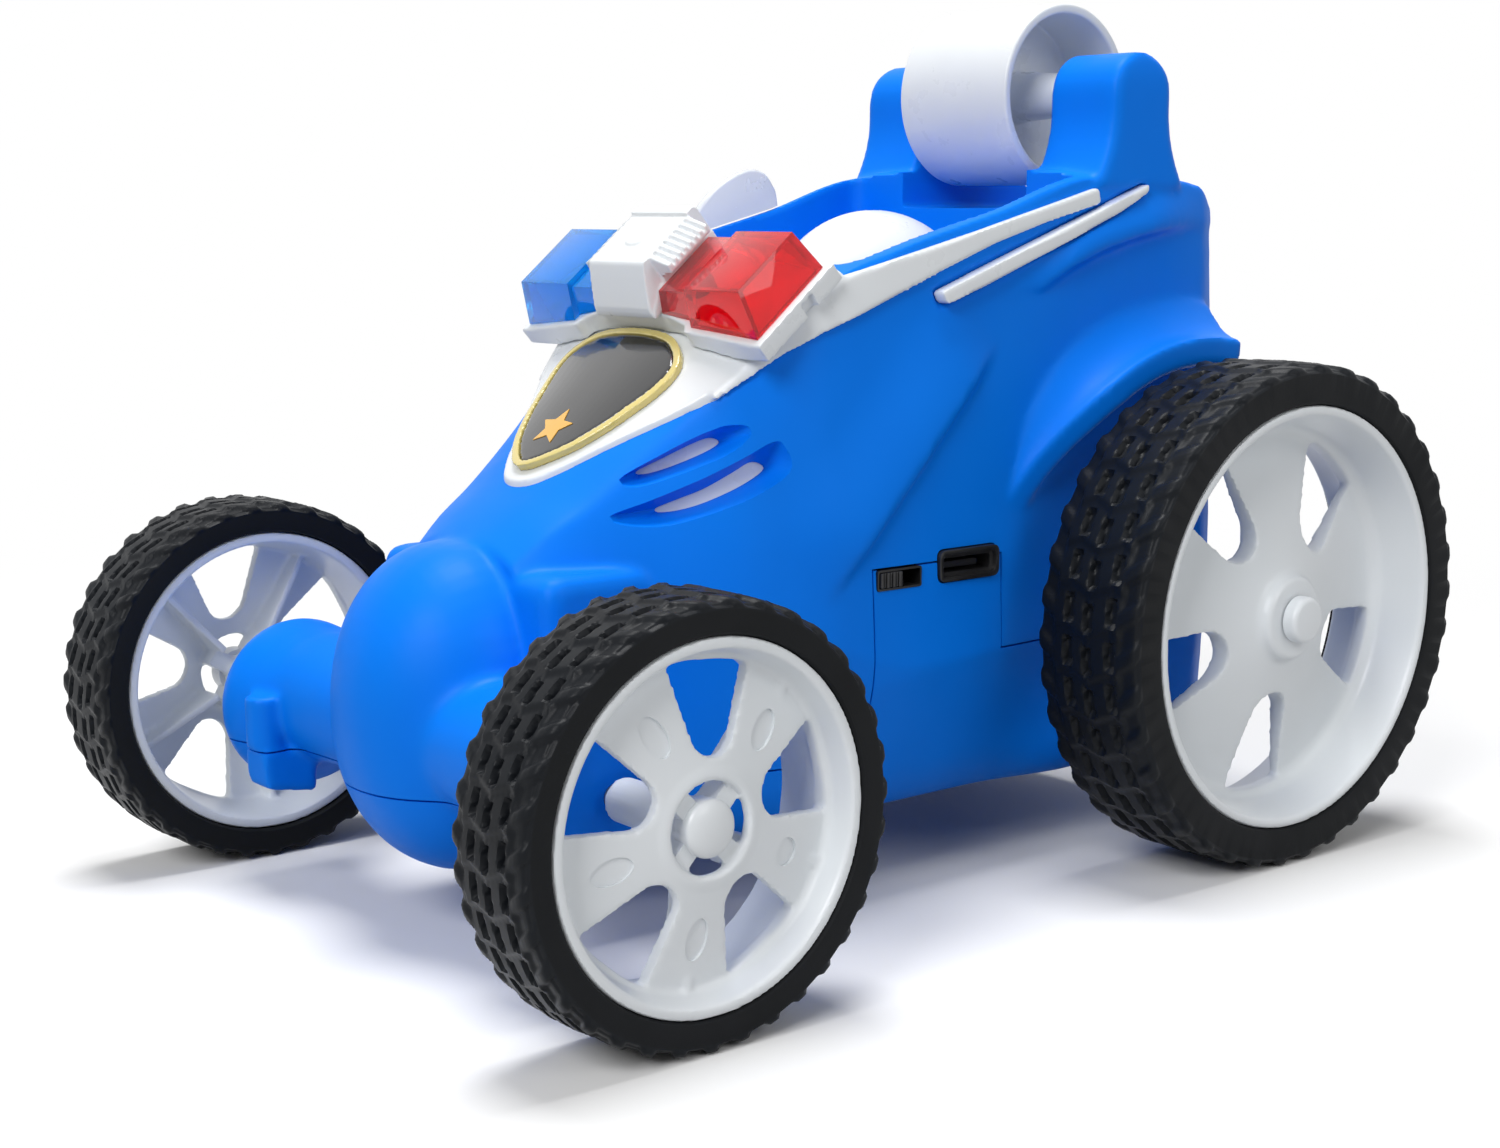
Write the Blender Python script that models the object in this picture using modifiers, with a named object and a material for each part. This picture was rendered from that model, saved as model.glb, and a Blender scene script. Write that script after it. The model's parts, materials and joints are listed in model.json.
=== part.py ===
"""Toy stunt car with a roller on its back, built as an assembly of named pieces.

Shapes are worked out in millimetres with the front axle at y = 0, then moved to metres with the car
centred on the origin. The car faces -Y, its left side is +X and +Z is up.
"""
import math

import bmesh
import bpy
import numpy as np
from mathutils import Matrix, Vector

MM = 0.001
GAP = 0.3

# Wheels and axles
WHEELBASE = 123.5
FRONT_R = 28.9
FRONT_W = 15.0
FRONT_OUT = 65.1
FRONT_TYRE_H = 4.8
REAR_R = 40.0
REAR_W = 18.6
REAR_OUT = 58.4
REAR_TYRE_H = 6.4
SPOKES = 5
TYRE_STEPS = 28
RIM_STEPS = 24
RIM_SEAT = 0.6
AXLE_R = 1.5
PIN_R = 1.5
PIN_HEAD_R = 3.1
PIN_ROOT = 33.6
PIN_SIDES = 12
HUB_CAP_R = 3.7
BUSH_R = 3.2

# Body shell
WALL = 2.0
FLOOR_Z = 12.8
RAIL_X = 28.0
RAIL_Z = 110.0
RAIL_W = 2.2
BODY_X = 32.4
HOOD_Y = 5.0
TAIL_OVER = 13.5
COCKPIT_FRONT = 53.5
COCKPIT_FLOOR = 84.0
DECK_AHEAD = 11.4
SPLIT_NOSE_Z = 21.0
SPLIT_TAIL_Z = 36.6
TAB_FRONT = 56.0
TAB_BACK = 83.0
TAB_Z = 51.4
NOSE_HALF = 17.5
NOSE_LONG = 17.5
NOSE_HIGH = 24.0
NOSE_Y = 3.0
NOSE_Z = 33.2
LEDGE_X = 22.5
LEDGE_Z = 54.0
LEDGE_BACK = 30.0
ARM_TIP = 48.2
ARM_R = 10.4
KNUCKLE_R = 13.9
CHEEK = 1.3
TIER = 1.5

# Roller and towers
ROLLER_R = 14.4
ROLLER_HALF = 12.2
ROLLER_WALL = 1.6
ROLLER_HUB_R = 3.4
ROLLER_AHEAD = 8.1
ROLLER_DROP = 6.0
ROLLER_CLEAR = 3.7
TOWER_IN = 14.5
TOWER_OUT = 29.0
TOWER_DEEP = 13.5
TOWER_Z = 127.6
TOWER_SKIN = 3.0
TOWER_FOOT = 12.5

# Fenders over the rear wheels
FENDER_R = 41.0
FENDER_X = 37.2
FENDER_T = 2.2
FENDER_RISE = 5.6
FENDER_WIDE = 8.2
FENDER_BACK = 78.5
FENDER_FRONT = 172.0

# Light bar, laid on the sloping hood
BAR_SLOPE = 39.4
BAR_Y = 36.7
BAR_Z = 83.5
BAR_OVER = 1.6
BAR_DEEP = 17.9
BAR_T = 3.0
BAR_EDGE = 1.2
SIREN_HALF = 7.4
SIREN_H = 8.6
LENS_STEP_X = 14.5
LENS_IN_H = 3.9
LENS_OUT_H = 5.0
LENS_LEAN = 4.0
LENS_WALL = 1.0
LAMP_R = 1.9
LAMP_H = 2.4

# Trim, badge, vents and cockpit pieces
GROOVE = 0.9
TRIM_T = 0.6
TRIM_SEAT = 0.4
STRIP_PROUD = 1.9
BADGE_HALF = 14.5
BADGE_LONG = 29.3
BADGE_T = 1.0
BADGE_RIM = 1.2
BADGE_Y = 16.2
BADGE_SLOPE = 43.0
INSERT_T = 0.8
SEAT_HALF = 15.0
SEAT_AHEAD = 11.1
SEAT_BEHIND = 0.6
SEAT_TOP = 103.2
FIN_T = 1.2

# Drive train
MODULE = 1.05
SMALL_TEETH = 8
BIG_TEETH = 16
GEAR_W = 2.6
GEAR_STEP = 0.4
GEAR_X = 19.6
SHAFT_R = 1.2
PLATE_X = 17.6
PLATE_T = 1.4
MESH_REAR = 150.0
MESH_MOTOR = 160.0
MOTOR_LONG = 15.6
MOTOR_R = 10.0
MOTOR_HALF_H = 7.5
RIB_T = 1.6

# Electrics
BATTERY_W = 32.0
BATTERY_LONG = 38.0
BATTERY_H = 15.0
BATTERY_Y = 62.0
DOOR_EDGE = 2.0
PCB_W = 46.0
PCB_LONG = 34.0
PCB_T = 1.6
PCB_Z = 36.0
POST_R = 1.8
SWITCH_LONG = 9.0
SWITCH_H = 4.0
SWITCH_TRAVEL = 3.0
SOCKET_LONG = 13.0
SOCKET_H = 6.4

YF = (FRONT_R - REAR_R - WHEELBASE) / 2.0
FRONT_RIM_R = FRONT_R - FRONT_TYRE_H
REAR_RIM_R = REAR_R - REAR_TYRE_H
FRONT_IN = FRONT_OUT - FRONT_W
REAR_IN = REAR_OUT - REAR_W
REAR_AXIS = (WHEELBASE, REAR_R)
FRONT_AXIS = (0.0, FRONT_R)
BAR_HALF = RAIL_X + BAR_OVER
TAIL_Y = WHEELBASE + TAIL_OVER
RAIL_Y = TAIL_Y - 31.0
ROLLER_AXIS = (WHEELBASE - ROLLER_AHEAD, TOWER_Z - ROLLER_DROP)
DECK_Z = ROLLER_AXIS[1] - ROLLER_R - ROLLER_CLEAR
COCKPIT_BACK = ROLLER_AXIS[0] - DECK_AHEAD
MESH_DIST = MODULE * (SMALL_TEETH + BIG_TEETH) / 2.0


def polar(centre, radius, degrees):
    a = math.radians(degrees)
    return (centre[0] + radius * math.cos(a), centre[1] + radius * math.sin(a))


IDLER_AXIS = polar(REAR_AXIS, MESH_DIST, MESH_REAR)
MOTOR_AXIS = polar(IDLER_AXIS, MESH_DIST, MESH_MOTOR)

for old in list(bpy.data.objects):
    bpy.data.objects.remove(old, do_unlink=True)

CAR = bpy.data.collections.new("rc_stunt_car")
CUTTERS = bpy.data.collections.new("cutters")
for made in (CAR, CUTTERS):
    bpy.context.scene.collection.children.link(made)


def material(name, rgb, rough=0.45, metal=0.0):
    mat = bpy.data.materials.new(name)
    mat.use_nodes = True
    shader = mat.node_tree.nodes["Principled BSDF"]
    shader.inputs["Base Color"].default_value = (*rgb, 1.0)
    shader.inputs["Roughness"].default_value = rough
    shader.inputs["Metallic"].default_value = metal
    mat.diffuse_color = (*rgb, 1.0)
    return mat


BLUE = material("blue_plastic", (0.01, 0.16, 0.80))
WHITE = material("white_plastic", (0.78, 0.80, 0.82))
BLACK = material("black_plastic", (0.02, 0.02, 0.022))
RUBBER = material("tyre_rubber", (0.022, 0.024, 0.027), 0.5)
RED = material("red_lens", (0.75, 0.01, 0.015), 0.1)
SKY = material("blue_lens", (0.01, 0.20, 0.85), 0.1)
CLEAR = material("pale_clear", (0.80, 0.85, 0.90), 0.15)
GOLD = material("gold_print", (0.70, 0.55, 0.14), 0.35)
STEEL = material("steel", (0.55, 0.56, 0.58), 0.3, 1.0)
BOARD = material("board_green", (0.03, 0.22, 0.08))
WRAP = material("battery_wrap", (0.02, 0.10, 0.35))
NYLON = material("nylon", (0.85, 0.84, 0.78))


def finish(name, work, mat, where):
    """Object from a bmesh in millimetres, welded and with its faces turned outward."""
    bmesh.ops.remove_doubles(work, verts=work.verts, dist=0.0005)
    bmesh.ops.recalc_face_normals(work, faces=work.faces)
    mesh = bpy.data.meshes.new(name)
    work.to_mesh(mesh)
    work.free()
    mesh.transform(Matrix.Scale(MM, 4) @ Matrix.Translation((0.0, YF, 0.0)))
    mesh.materials.append(mat)
    obj = bpy.data.objects.new(name, mesh)
    where.objects.link(obj)
    return obj


def evaluated(obj):
    """Bmesh of an object as its modifiers leave it; the object is removed."""
    CUTTERS.objects.link(obj)
    graph = bpy.context.evaluated_depsgraph_get()
    work = bmesh.new()
    work.from_mesh(bpy.data.meshes.new_from_object(obj.evaluated_get(graph)))
    bpy.data.objects.remove(obj, do_unlink=True)
    return work


def box(name, low, high, mat, where=CAR):
    size = [abs(b - a) for a, b in zip(low, high)]
    middle = [(a + b) / 2.0 for a, b in zip(low, high)]
    work = bmesh.new()
    bmesh.ops.create_cube(work, size=1.0, matrix=Matrix.Translation(middle) @ Matrix.Diagonal((*size, 1.0)))
    return finish(name, work, mat, where)


def rod(name, x0, x1, radius, axis, mat, sides=PIN_SIDES, where=CAR):
    """Cylinder along X about the axis through (y, z)."""
    turn = Matrix.Translation(((x0 + x1) / 2.0, *axis)) @ Matrix.Rotation(math.pi / 2.0, 4, "Y")
    work = bmesh.new()
    bmesh.ops.create_cone(work, cap_ends=True, segments=sides, radius1=radius, radius2=radius,
                          depth=abs(x1 - x0), matrix=turn)
    return finish(name, work, mat, where)


def posts(name, spots, z0, z1, radius, mat, sides=10, where=CAR):
    """Upright cylinders at each (x, y) spot, as one object."""
    work = bmesh.new()
    for x, y in spots:
        bmesh.ops.create_cone(work, cap_ends=True, segments=sides, radius1=radius, radius2=radius,
                              depth=z1 - z0, matrix=Matrix.Translation((x, y, (z0 + z1) / 2.0)))
    return finish(name, work, mat, where)


def turned(name, profile, axis, mat, steps, where=CAR, closed=True):
    """Profile of (x, radius) points turned about the X direction through axis."""
    count = len(profile)
    links = [(k, k + 1) for k in range(count - 1)]
    if closed:
        links.append((count - 1, 0))
    mesh = bpy.data.meshes.new(name)
    mesh.from_pydata([(r, 0.0, x) for x, r in profile], links, [])
    obj = bpy.data.objects.new(name, mesh)
    screw = obj.modifiers.new("turn", "SCREW")
    screw.steps = steps
    screw.render_steps = steps
    screw.use_merge_vertices = True
    screw.merge_threshold = 0.0001
    work = evaluated(obj)
    turn = Matrix.Translation((0.0, *axis)) @ Matrix.Rotation(math.pi / 2.0, 4, "Y")
    bmesh.ops.transform(work, matrix=turn, verts=work.verts)
    return finish(name, work, mat, where)


AXES = {
    "X": Matrix(((0, 0, 1, 0), (1, 0, 0, 0), (0, 1, 0, 0), (0, 0, 0, 1))),
    "Y": Matrix(((1, 0, 0, 0), (0, 0, 1, 0), (0, 1, 0, 0), (0, 0, 0, 1))),
    "Z": Matrix.Identity(4),
}


def plate(name, loops, axis, low, high, mat, where=CAR, place=None):
    """Flat outlines pushed along an axis from low to high; an inner loop is a hole."""
    curve = bpy.data.curves.new(name, "CURVE")
    curve.dimensions = "2D"
    curve.fill_mode = "BOTH"
    curve.extrude = abs(high - low) / 2.0
    for loop in loops:
        spline = curve.splines.new("POLY")
        spline.points.add(len(loop) - 1)
        for point, (u, v) in zip(spline.points, loop):
            point.co = (u, v, 0.0, 1.0)
        spline.use_cyclic_u = True
    work = evaluated(bpy.data.objects.new(name, curve))
    move = AXES[axis] @ Matrix.Translation((0.0, 0.0, (low + high) / 2.0))
    if place is not None:
        move = place @ move
    bmesh.ops.transform(work, matrix=move, verts=work.verts)
    return finish(name, work, mat, where)


def loft(name, rings, mat, where=CAR):
    """Solid through closed rings of equal length, its two halves mirrored in their diagonals."""
    work = bmesh.new()
    rows = [[work.verts.new(p) for p in ring] for ring in rings]
    count = len(rings[0])
    for a, b in zip(rows[:-1], rows[1:]):
        for i in range(count):
            j = (i + 1) % count
            if i < count // 2:
                work.faces.new((a[i], a[j], b[j]))
                work.faces.new((a[i], b[j], b[i]))
            else:
                work.faces.new((a[i], a[j], b[i]))
                work.faces.new((a[j], b[j], b[i]))
    work.faces.new(rows[0])
    work.faces.new(rows[-1])
    return finish(name, work, mat, where)


def split_once(work):
    """Split one open edge at an open point that lies on it; False when none is left."""
    rim = [e for e in work.edges if e.is_boundary]
    spots = {v for e in rim for v in e.verts}
    for edge in rim:
        a, b = edge.verts
        run = b.co - a.co
        for v in spots - {a, b}:
            t = (v.co - a.co).dot(run) / run.length_squared
            if 0.0 < t < 1.0 and (a.co + run * t - v.co).length < 5e-7:
                made = bmesh.utils.edge_split(edge, a, t)[1]
                bmesh.ops.pointmerge(work, verts=[v, made], merge_co=v.co)
                return True
    return False


def combine(obj, tool, how="DIFFERENCE"):
    """Boolean of obj with tool; the tool is used up."""
    mod = obj.modifiers.new(how.lower(), "BOOLEAN")
    mod.operation = how
    mod.solver = "EXACT"
    mod.object = tool
    graph = bpy.context.evaluated_depsgraph_get()
    mesh = bpy.data.meshes.new_from_object(obj.evaluated_get(graph))
    obj.modifiers.clear()
    bpy.data.objects.remove(tool, do_unlink=True)
    work = bmesh.new()
    work.from_mesh(mesh)
    bmesh.ops.remove_doubles(work, verts=work.verts, dist=2e-6)
    while split_once(work):
        pass
    work.to_mesh(mesh)
    work.free()
    obj.data = mesh
    return obj


def arc(centre, radius, start, stop, steps):
    """Points on an arc, angles in degrees."""
    return [polar(centre, radius, start + (stop - start) * k / steps) for k in range(steps + 1)]


def circle(centre, radius, steps=PIN_SIDES):
    return arc(centre, radius, 0.0, 360.0 - 360.0 / steps, steps - 1)


def rectangle(centre, long, high):
    y, z = centre
    return [(y - long / 2, z - high / 2), (y + long / 2, z - high / 2),
            (y + long / 2, z + high / 2), (y - long / 2, z + high / 2)]


def both_sides(half):
    """Outline through points (x, y) of one side, mirrored across x = 0."""
    return half + [(-x, y) for x, y in reversed(half) if x > 0.0]


def grown(loop, by):
    """Outline moved outward by a distance."""
    area = sum(a[0] * b[1] - b[0] * a[1] for a, b in zip(loop, loop[1:] + loop[:1]))
    turn = math.copysign(1.0, area)
    out = []
    for before, here, after in zip(loop[-1:] + loop[:-1], loop, loop[1:] + loop[:1]):
        sides = []
        for p, q in ((before, here), (here, after)):
            size = math.dist(p, q)
            sides.append((turn * (q[1] - p[1]) / size, turn * (p[0] - q[0]) / size))
        (ax, ay), (bx, by_) = sides
        scale = by / (1.0 + ax * bx + ay * by_)
        out.append((here[0] + scale * (ax + bx), here[1] + scale * (ay + by_)))
    return out


# Stations of the hull: y, crown z, shoulder x, shoulder z, widest x, widest z, foot x
HULL = (
    (HOOD_Y, 57.4, 12.6, 54.6, 17.6, 45.0, 15.0),
    (10.0, 61.2, 14.0, 58.6, 19.0, 46.0, 16.6),
    (16.0, 65.4, 15.6, 62.4, 20.8, 47.0, 18.5),
    (28.0, 75.6, 18.2, 72.0, 26.0, 48.0, 22.5),
    (38.0, 84.4, 23.2, 80.8, 29.8, 46.0, 26.0),
    (50.0, 94.8, 26.8, 92.6, BODY_X - 0.3, 40.0, 28.6),
    (64.0, 99.4, 27.5, 97.6, BODY_X, 36.0, 30.0),
    (84.0, 104.4, 27.8, 102.8, BODY_X - 0.6, 36.0, 30.0),
    (RAIL_Y, RAIL_Z, RAIL_X, 108.4, BODY_X - 2.2, 38.0, 29.0),
    (TAIL_Y - 15.0, RAIL_Z - 0.6, RAIL_X - 0.2, 107.2, BODY_X - 2.4, 40.0, 28.6),
    (TAIL_Y - 5.0, RAIL_Z - 3.0, RAIL_X - 1.0, 104.0, BODY_X - 2.6, 42.0, 28.0),
    (TAIL_Y, RAIL_Z - 8.0, RAIL_X - 3.0, 98.0, BODY_X - 4.6, 44.0, 26.0),
)
OUTER_Y = (HOOD_Y, 10.0, 16.0, 22.0, 28.0, 33.0, 38.0, 44.0, 50.0, 56.0, 64.0, 84.0, RAIL_Y, TAIL_Y - 15.0,
           TAIL_Y - 10.0, TAIL_Y - 5.0, TAIL_Y)
INNER_Y = (14.0, 24.0, 32.0, 40.0, 48.0, 64.0, RAIL_Y, TAIL_Y - 11.0, TAIL_Y - WALL)
OUTER_STEPS = (4, 5, 2)
INNER_STEPS = (2, 4, 2)


def at_station(y):
    """Hull values at y, monotone between the stations."""
    rows = np.array(HULL)
    last = len(rows) - 1
    k = int(np.clip(np.searchsorted(rows[:, 0], y) - 1, 0, last - 1))
    steps = np.diff(rows, axis=0)
    slopes = steps / steps[:, :1]

    def tangent(i):
        if i in (0, last):
            return slopes[min(i, last - 1)]
        a, b = slopes[i - 1], slopes[i]
        total = np.where(a + b == 0.0, 1.0, a + b)
        return np.where(a * b > 0.0, 2.0 * a * b / total, 0.0)

    width = steps[k, 0]
    t = (y - rows[k, 0]) / width
    a = (2 * t**3 - 3 * t**2 + 1) * rows[k] + (t**3 - 2 * t**2 + t) * width * tangent(k)
    b = (3 * t**2 - 2 * t**3) * rows[k + 1] + (t**3 - t**2) * width * tangent(k + 1)
    return a + b


def bend(a, b, c, steps):
    """Points of a quadratic curve from a to c, without a itself."""
    out = []
    for k in range(1, steps + 1):
        u = k / steps
        out.append(tuple((1 - u)**2 * p + 2 * u * (1 - u) * q + u * u * r for p, q, r in zip(a, b, c)))
    return out


def hull_half(y, grow=0.0, points=OUTER_STEPS):
    """Half outline of the hull at y as (x, z), from the crown down to the belly."""
    _, top, sx, sz, wx, wz, fx = at_station(y)
    over, side, under = points
    half = [(sx * k / over, top - (top - sz) * (k / over)**2.4) for k in range(over + 1)]
    half += bend((sx, sz), (sx + (wx - sx) * 0.62, sz - (sz - wz) * 0.38), (wx, wz), side)
    low = (fx + (wx - fx) * 0.3, FLOOR_Z + 7.0)
    half.append(low)
    half += bend(low, (fx, FLOOR_Z + 1.0), (fx - 3.0, FLOOR_Z), under)
    if not grow:
        return half
    line = [(-half[1][0], half[1][1])] + half + [(0.0, FLOOR_Z)]
    moved = []
    for before, here, after in zip(line[:-2], line[1:-1], line[2:]):
        run = after[0] - before[0]
        fall = after[1] - before[1]
        size = math.hypot(run, fall)
        moved.append((here[0] - grow * fall / size, here[1] + grow * run / size))
    moved[0] = (0.0, half[0][1] + grow)
    moved[-1] = (half[-1][0] + grow * 0.4, FLOOR_Z - grow)
    return moved


def hull_x(y, z):
    """Half width of the hull at (y, z)."""
    half = hull_half(y)
    for (x0, z0), (x1, z1) in zip(half[:-1], half[1:]):
        if z1 <= z <= z0:
            return x0 + (x1 - x0) * (z0 - z) / (z0 - z1)
    return half[0][0]


def hull(name, grow=0.0, roof=None, stations=OUTER_Y, points=OUTER_STEPS, where=CUTTERS):
    """Main body form grown outward by grow; roof caps it from the cockpit back."""
    rings = []
    for y in stations:
        half = hull_half(y, grow, points)
        if roof is not None and y > COCKPIT_FRONT - 8.0:
            half = [(x, min(z, roof - 0.01 * k)) for k, (x, z) in enumerate(half)]
        place = y
        if y in (HOOD_Y, TAIL_Y):
            place += grow if y == TAIL_Y else -grow
        rings.append([(x, place, z) for x, z in half] + [(-x, place, z) for x, z in reversed(half[1:])])
    return loft(name, rings, BLUE, where)


def nose(name, shrink=0.0, sides=18):
    """Egg-shaped nose that runs back into the hull."""
    half = NOSE_HALF - shrink
    high = NOSE_HIGH - shrink
    rows = []
    for angle in (8.0, 20.0, 34.0, 50.0, 68.0, 90.0):
        a = math.radians(angle)
        rows.append((NOSE_Y - (NOSE_LONG - shrink) * math.cos(a), half * math.sin(a), high * math.sin(a)))
    rows += [(NOSE_Y + 10.0, half, high * 0.99), (NOSE_Y + 24.0, half * 0.98, high * 0.9)]
    rings = []
    for y, w, h in rows:
        ring = []
        for k in range(sides):
            u, v = polar((0.0, 0.0), 1.0, 360.0 * k / sides)
            ring.append((w * math.copysign(abs(u)**0.88, u), y, NOSE_Z + h * math.copysign(abs(v)**0.92, v)))
        rings.append(ring)
    return loft(name, rings, BLUE, CUTTERS)


def arm(name, side):
    """Front arm that swells into the wheel carrier."""
    rows = ((8.0, 30.4, ARM_R), (30.0, 30.0, ARM_R), (35.0, 29.0, ARM_R + 0.9), (40.0, 27.8, KNUCKLE_R - 0.9),
            (44.0, 27.0, KNUCKLE_R), (46.8, 27.2, KNUCKLE_R - 0.9), (ARM_TIP, 27.8, KNUCKLE_R - 3.4))
    rings = [[(side * x, y, v) for y, v in circle((0.0, z), r, 16)] for x, z, r in rows]
    return loft(name, rings, BLUE, CUTTERS)


def ledge(name, side):
    """Flat-topped shoulder beside the hood, behind the nose."""
    y0 = HOOD_Y - 0.5
    outline = [(y0, 15.6), (y0, LEDGE_Z - 3.0), (y0 + 2.0, LEDGE_Z - 0.6), (y0 + 5.0, LEDGE_Z),
               (LEDGE_BACK - 6.0, LEDGE_Z), (LEDGE_BACK - 2.0, LEDGE_Z - 1.0), (LEDGE_BACK, LEDGE_Z - 4.0),
               (LEDGE_BACK, 15.6)]
    rings = []
    for x, drop in ((4.0, 0.0), (LEDGE_X - 2.0, 0.0), (LEDGE_X, 2.0)):
        rings.append([(side * x, y + (drop if y == y0 else 0.0), z - (drop if z > 20.0 else -drop))
                      for y, z in outline])
    return loft(name, rings, BLUE, CUTTERS)


def tower(name, side):
    """Post with a flared foot that carries one end of the roller axle."""
    rows = ((0.0, 3.4, 1.6), (0.27, 2.6, 0.8), (0.4, 1.4, 0.2), (0.5, 0.5, 0.0), (0.8, 0.0, 0.0),
            (0.92, -1.4, -0.2), (0.98, -3.4, -0.9), (1.0, -5.2, -2.2))
    foot = RAIL_Z - TOWER_FOOT
    rings = []
    for share, long, wide in rows:
        z = foot + share * (TOWER_Z - foot)
        y0 = ROLLER_AXIS[0] - TOWER_DEEP / 2.0 - long
        y1 = ROLLER_AXIS[0] + TOWER_DEEP / 2.0 + long
        x0 = TOWER_IN - min(wide, 0.0)
        x1 = TOWER_OUT + wide
        ring = [(x0, y0 + 1.0), (x0 + 1.0, y0), (x1 - 2.0, y0), (x1, y0 + 2.0),
                (x1, y1 - 2.0), (x1 - 2.0, y1), (x0 + 1.0, y1), (x0, y1 - 1.0)]
        rings.append([(side * x, y, z) for x, y in ring])
    return loft(name, rings, BLUE, CUTTERS)


def fender(name, side):
    """Flange swept around the top of the rear wheel."""
    lip = FENDER_R + FENDER_T
    root = FENDER_X - FENDER_WIDE
    rings = []
    for k in range(11):
        t = k / 10.0
        angle = FENDER_BACK + (FENDER_FRONT - FENDER_BACK) * t
        rise = FENDER_RISE * (1.0 - 0.75 * max(0.0, (t - 0.65) / 0.35))
        shape = [(root - 4.0, FENDER_R), (FENDER_X, FENDER_R)]
        shape += [(FENDER_X - FENDER_WIDE * u, lip + rise * u**1.9) for u in (0.0, 0.35, 0.7, 1.0)]
        shape.append((root - 4.0, lip + rise))
        rings.append([(side * x, *polar(REAR_AXIS, r, angle)) for x, r in shape])
    return loft(name, rings, BLUE, CUTTERS)


def swell(name, side, rows):
    """Raised patch on the hull: rows of (y, z, height) points, height measured off the hull."""
    rings = []
    for row in rows:
        out = [(side * (hull_x(y, z) + height), y, z) for y, z, height in row]
        rings.append(out + [(side * (hull_x(y, z) - 2.6), y, z) for y, z, _ in reversed(row)])
    return loft(name, rings, BLUE, CUTTERS)


def tier(name, side):
    """Raised tier along the top of the rear quarter."""
    line = ((44.0, 91.3, -0.2), (38.0, 94.4, 0.35), (31.0, 96.9, 0.9), (23.0, 98.8, 1.0), (16.0, 99.9, 1.0),
            (9.0, 100.5, 0.9), (5.5, 100.8, 0.5), (2.0, 100.4, -0.2))
    rows = []
    for rise, share in ((-0.5, 0.0), (0.0, 1.0), (2.6, 1.0), (6.0, 0.0)):
        row = []
        for ahead, z, swelling in line:
            y = TAIL_Y - ahead
            limit = at_station(y)[3] - 0.4
            height = TIER * swelling if swelling > 0.0 and share else -0.3
            row.append((y, min(z + rise, limit + 0.1 * rise), height))
        rows.append(row)
    return swell(name, side, rows)


def cheek(name, side):
    """Cheek ahead of the slanting ridge in front of the rear wheel."""
    spots = ((47.0, 0.0), (53.0, 0.7), (60.0, 1.0), (67.0, 1.0), (73.0, 0.7), (78.0, 0.0))
    rows = []
    for ahead, share in ((-0.5, 0.0), (0.0, 1.0), (5.0, 0.6), (14.0, 0.0)):
        row = []
        for y, full in spots:
            height = CHEEK * share * full
            row.append((y - 0.7 * ahead, y + 0.4 + 0.7 * ahead, height if height else -0.3))
        rows.append(row)
    return swell(name, side, rows)


def body_form(name):
    """Outer body, hollowed, before it is split into its two halves."""
    body = hull(name, where=CAR)
    combine(body, nose("nose"), "UNION")
    for side in (1, -1):
        for shape in (ledge, tower, fender, tier, cheek):
            combine(body, shape("piece", side), "UNION")
    inside = hull("inside", -WALL, COCKPIT_FLOOR - WALL, INNER_Y, INNER_STEPS)
    combine(inside, nose("inside_nose", WALL, 12), "UNION")
    rear = (COCKPIT_BACK + WALL, TAIL_Y - 15.0, TAIL_Y - 2.0 * WALL)
    combine(inside, hull("rear", -1.5 * WALL, DECK_Z - WALL, rear, INNER_STEPS), "UNION")
    combine(body, inside)
    for side in (1, -1):
        combine(body, arm("arm", side), "UNION")
    return body


def lower_outline(shift):
    """Side outline of the lower half, its top edge moved by shift."""
    front = SPLIT_NOSE_Z + shift
    back = SPLIT_TAIL_Z + shift
    return [(-60.0, -20.0), (-60.0, front), (TAB_FRONT - shift, front), (TAB_FRONT - shift, TAB_Z + shift),
            (TAB_BACK + shift, TAB_Z + shift), (TAB_BACK + shift, back), (TAIL_Y + 60.0, back),
            (TAIL_Y + 60.0, -20.0)]


def socket_place():
    """Centre (y, z) of the charging socket in the left side."""
    return (TAB_BACK - 1.0 - SOCKET_LONG / 2.0, TAB_Z - 0.8)


def switch_place():
    """Centre (y, z) of the switch slot in the left side."""
    return (TAB_FRONT + 0.6 + SWITCH_LONG / 2.0, TAB_Z - 0.4 - SWITCH_H / 2.0)


def open_side(body):
    """Slots for the power switch and the charging socket."""
    slots = [rectangle(switch_place(), SWITCH_LONG, SWITCH_H),
             rectangle(socket_place(), SOCKET_LONG, SOCKET_H)]
    combine(body, plate("slots", slots, "X", 24.0, 60.0, BLUE, CUTTERS))


def open_axles(body):
    """Bores for the rear bushes and the front pins."""
    for side in (1, -1):
        combine(body, rod("bore", side * 24.0, side * 90.0, BUSH_R, REAR_AXIS, BLUE, where=CUTTERS))
        root = side * (PIN_ROOT - GAP)
        combine(body, rod("bore", root, side * 90.0, PIN_R + GAP, FRONT_AXIS, BLUE, where=CUTTERS))


def vent_outlines(by):
    """Side outlines of the two hood vents of one side, grown by a distance."""
    upper = [(20.9, 66.0), (27.0, 69.3), (33.5, 72.6), (36.6, 72.9), (37.7, 71.8), (34.7, 69.4), (29.0, 67.0),
             (23.0, 65.2)]
    lower = [(18.5, 61.1), (24.0, 63.1), (30.7, 65.8), (37.3, 69.2), (40.2, 70.4), (42.9, 67.2), (39.6, 64.9),
             (33.8, 62.2), (26.0, 60.0), (20.5, 60.0)]
    return [grown(upper, by), grown(lower, by)]


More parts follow.
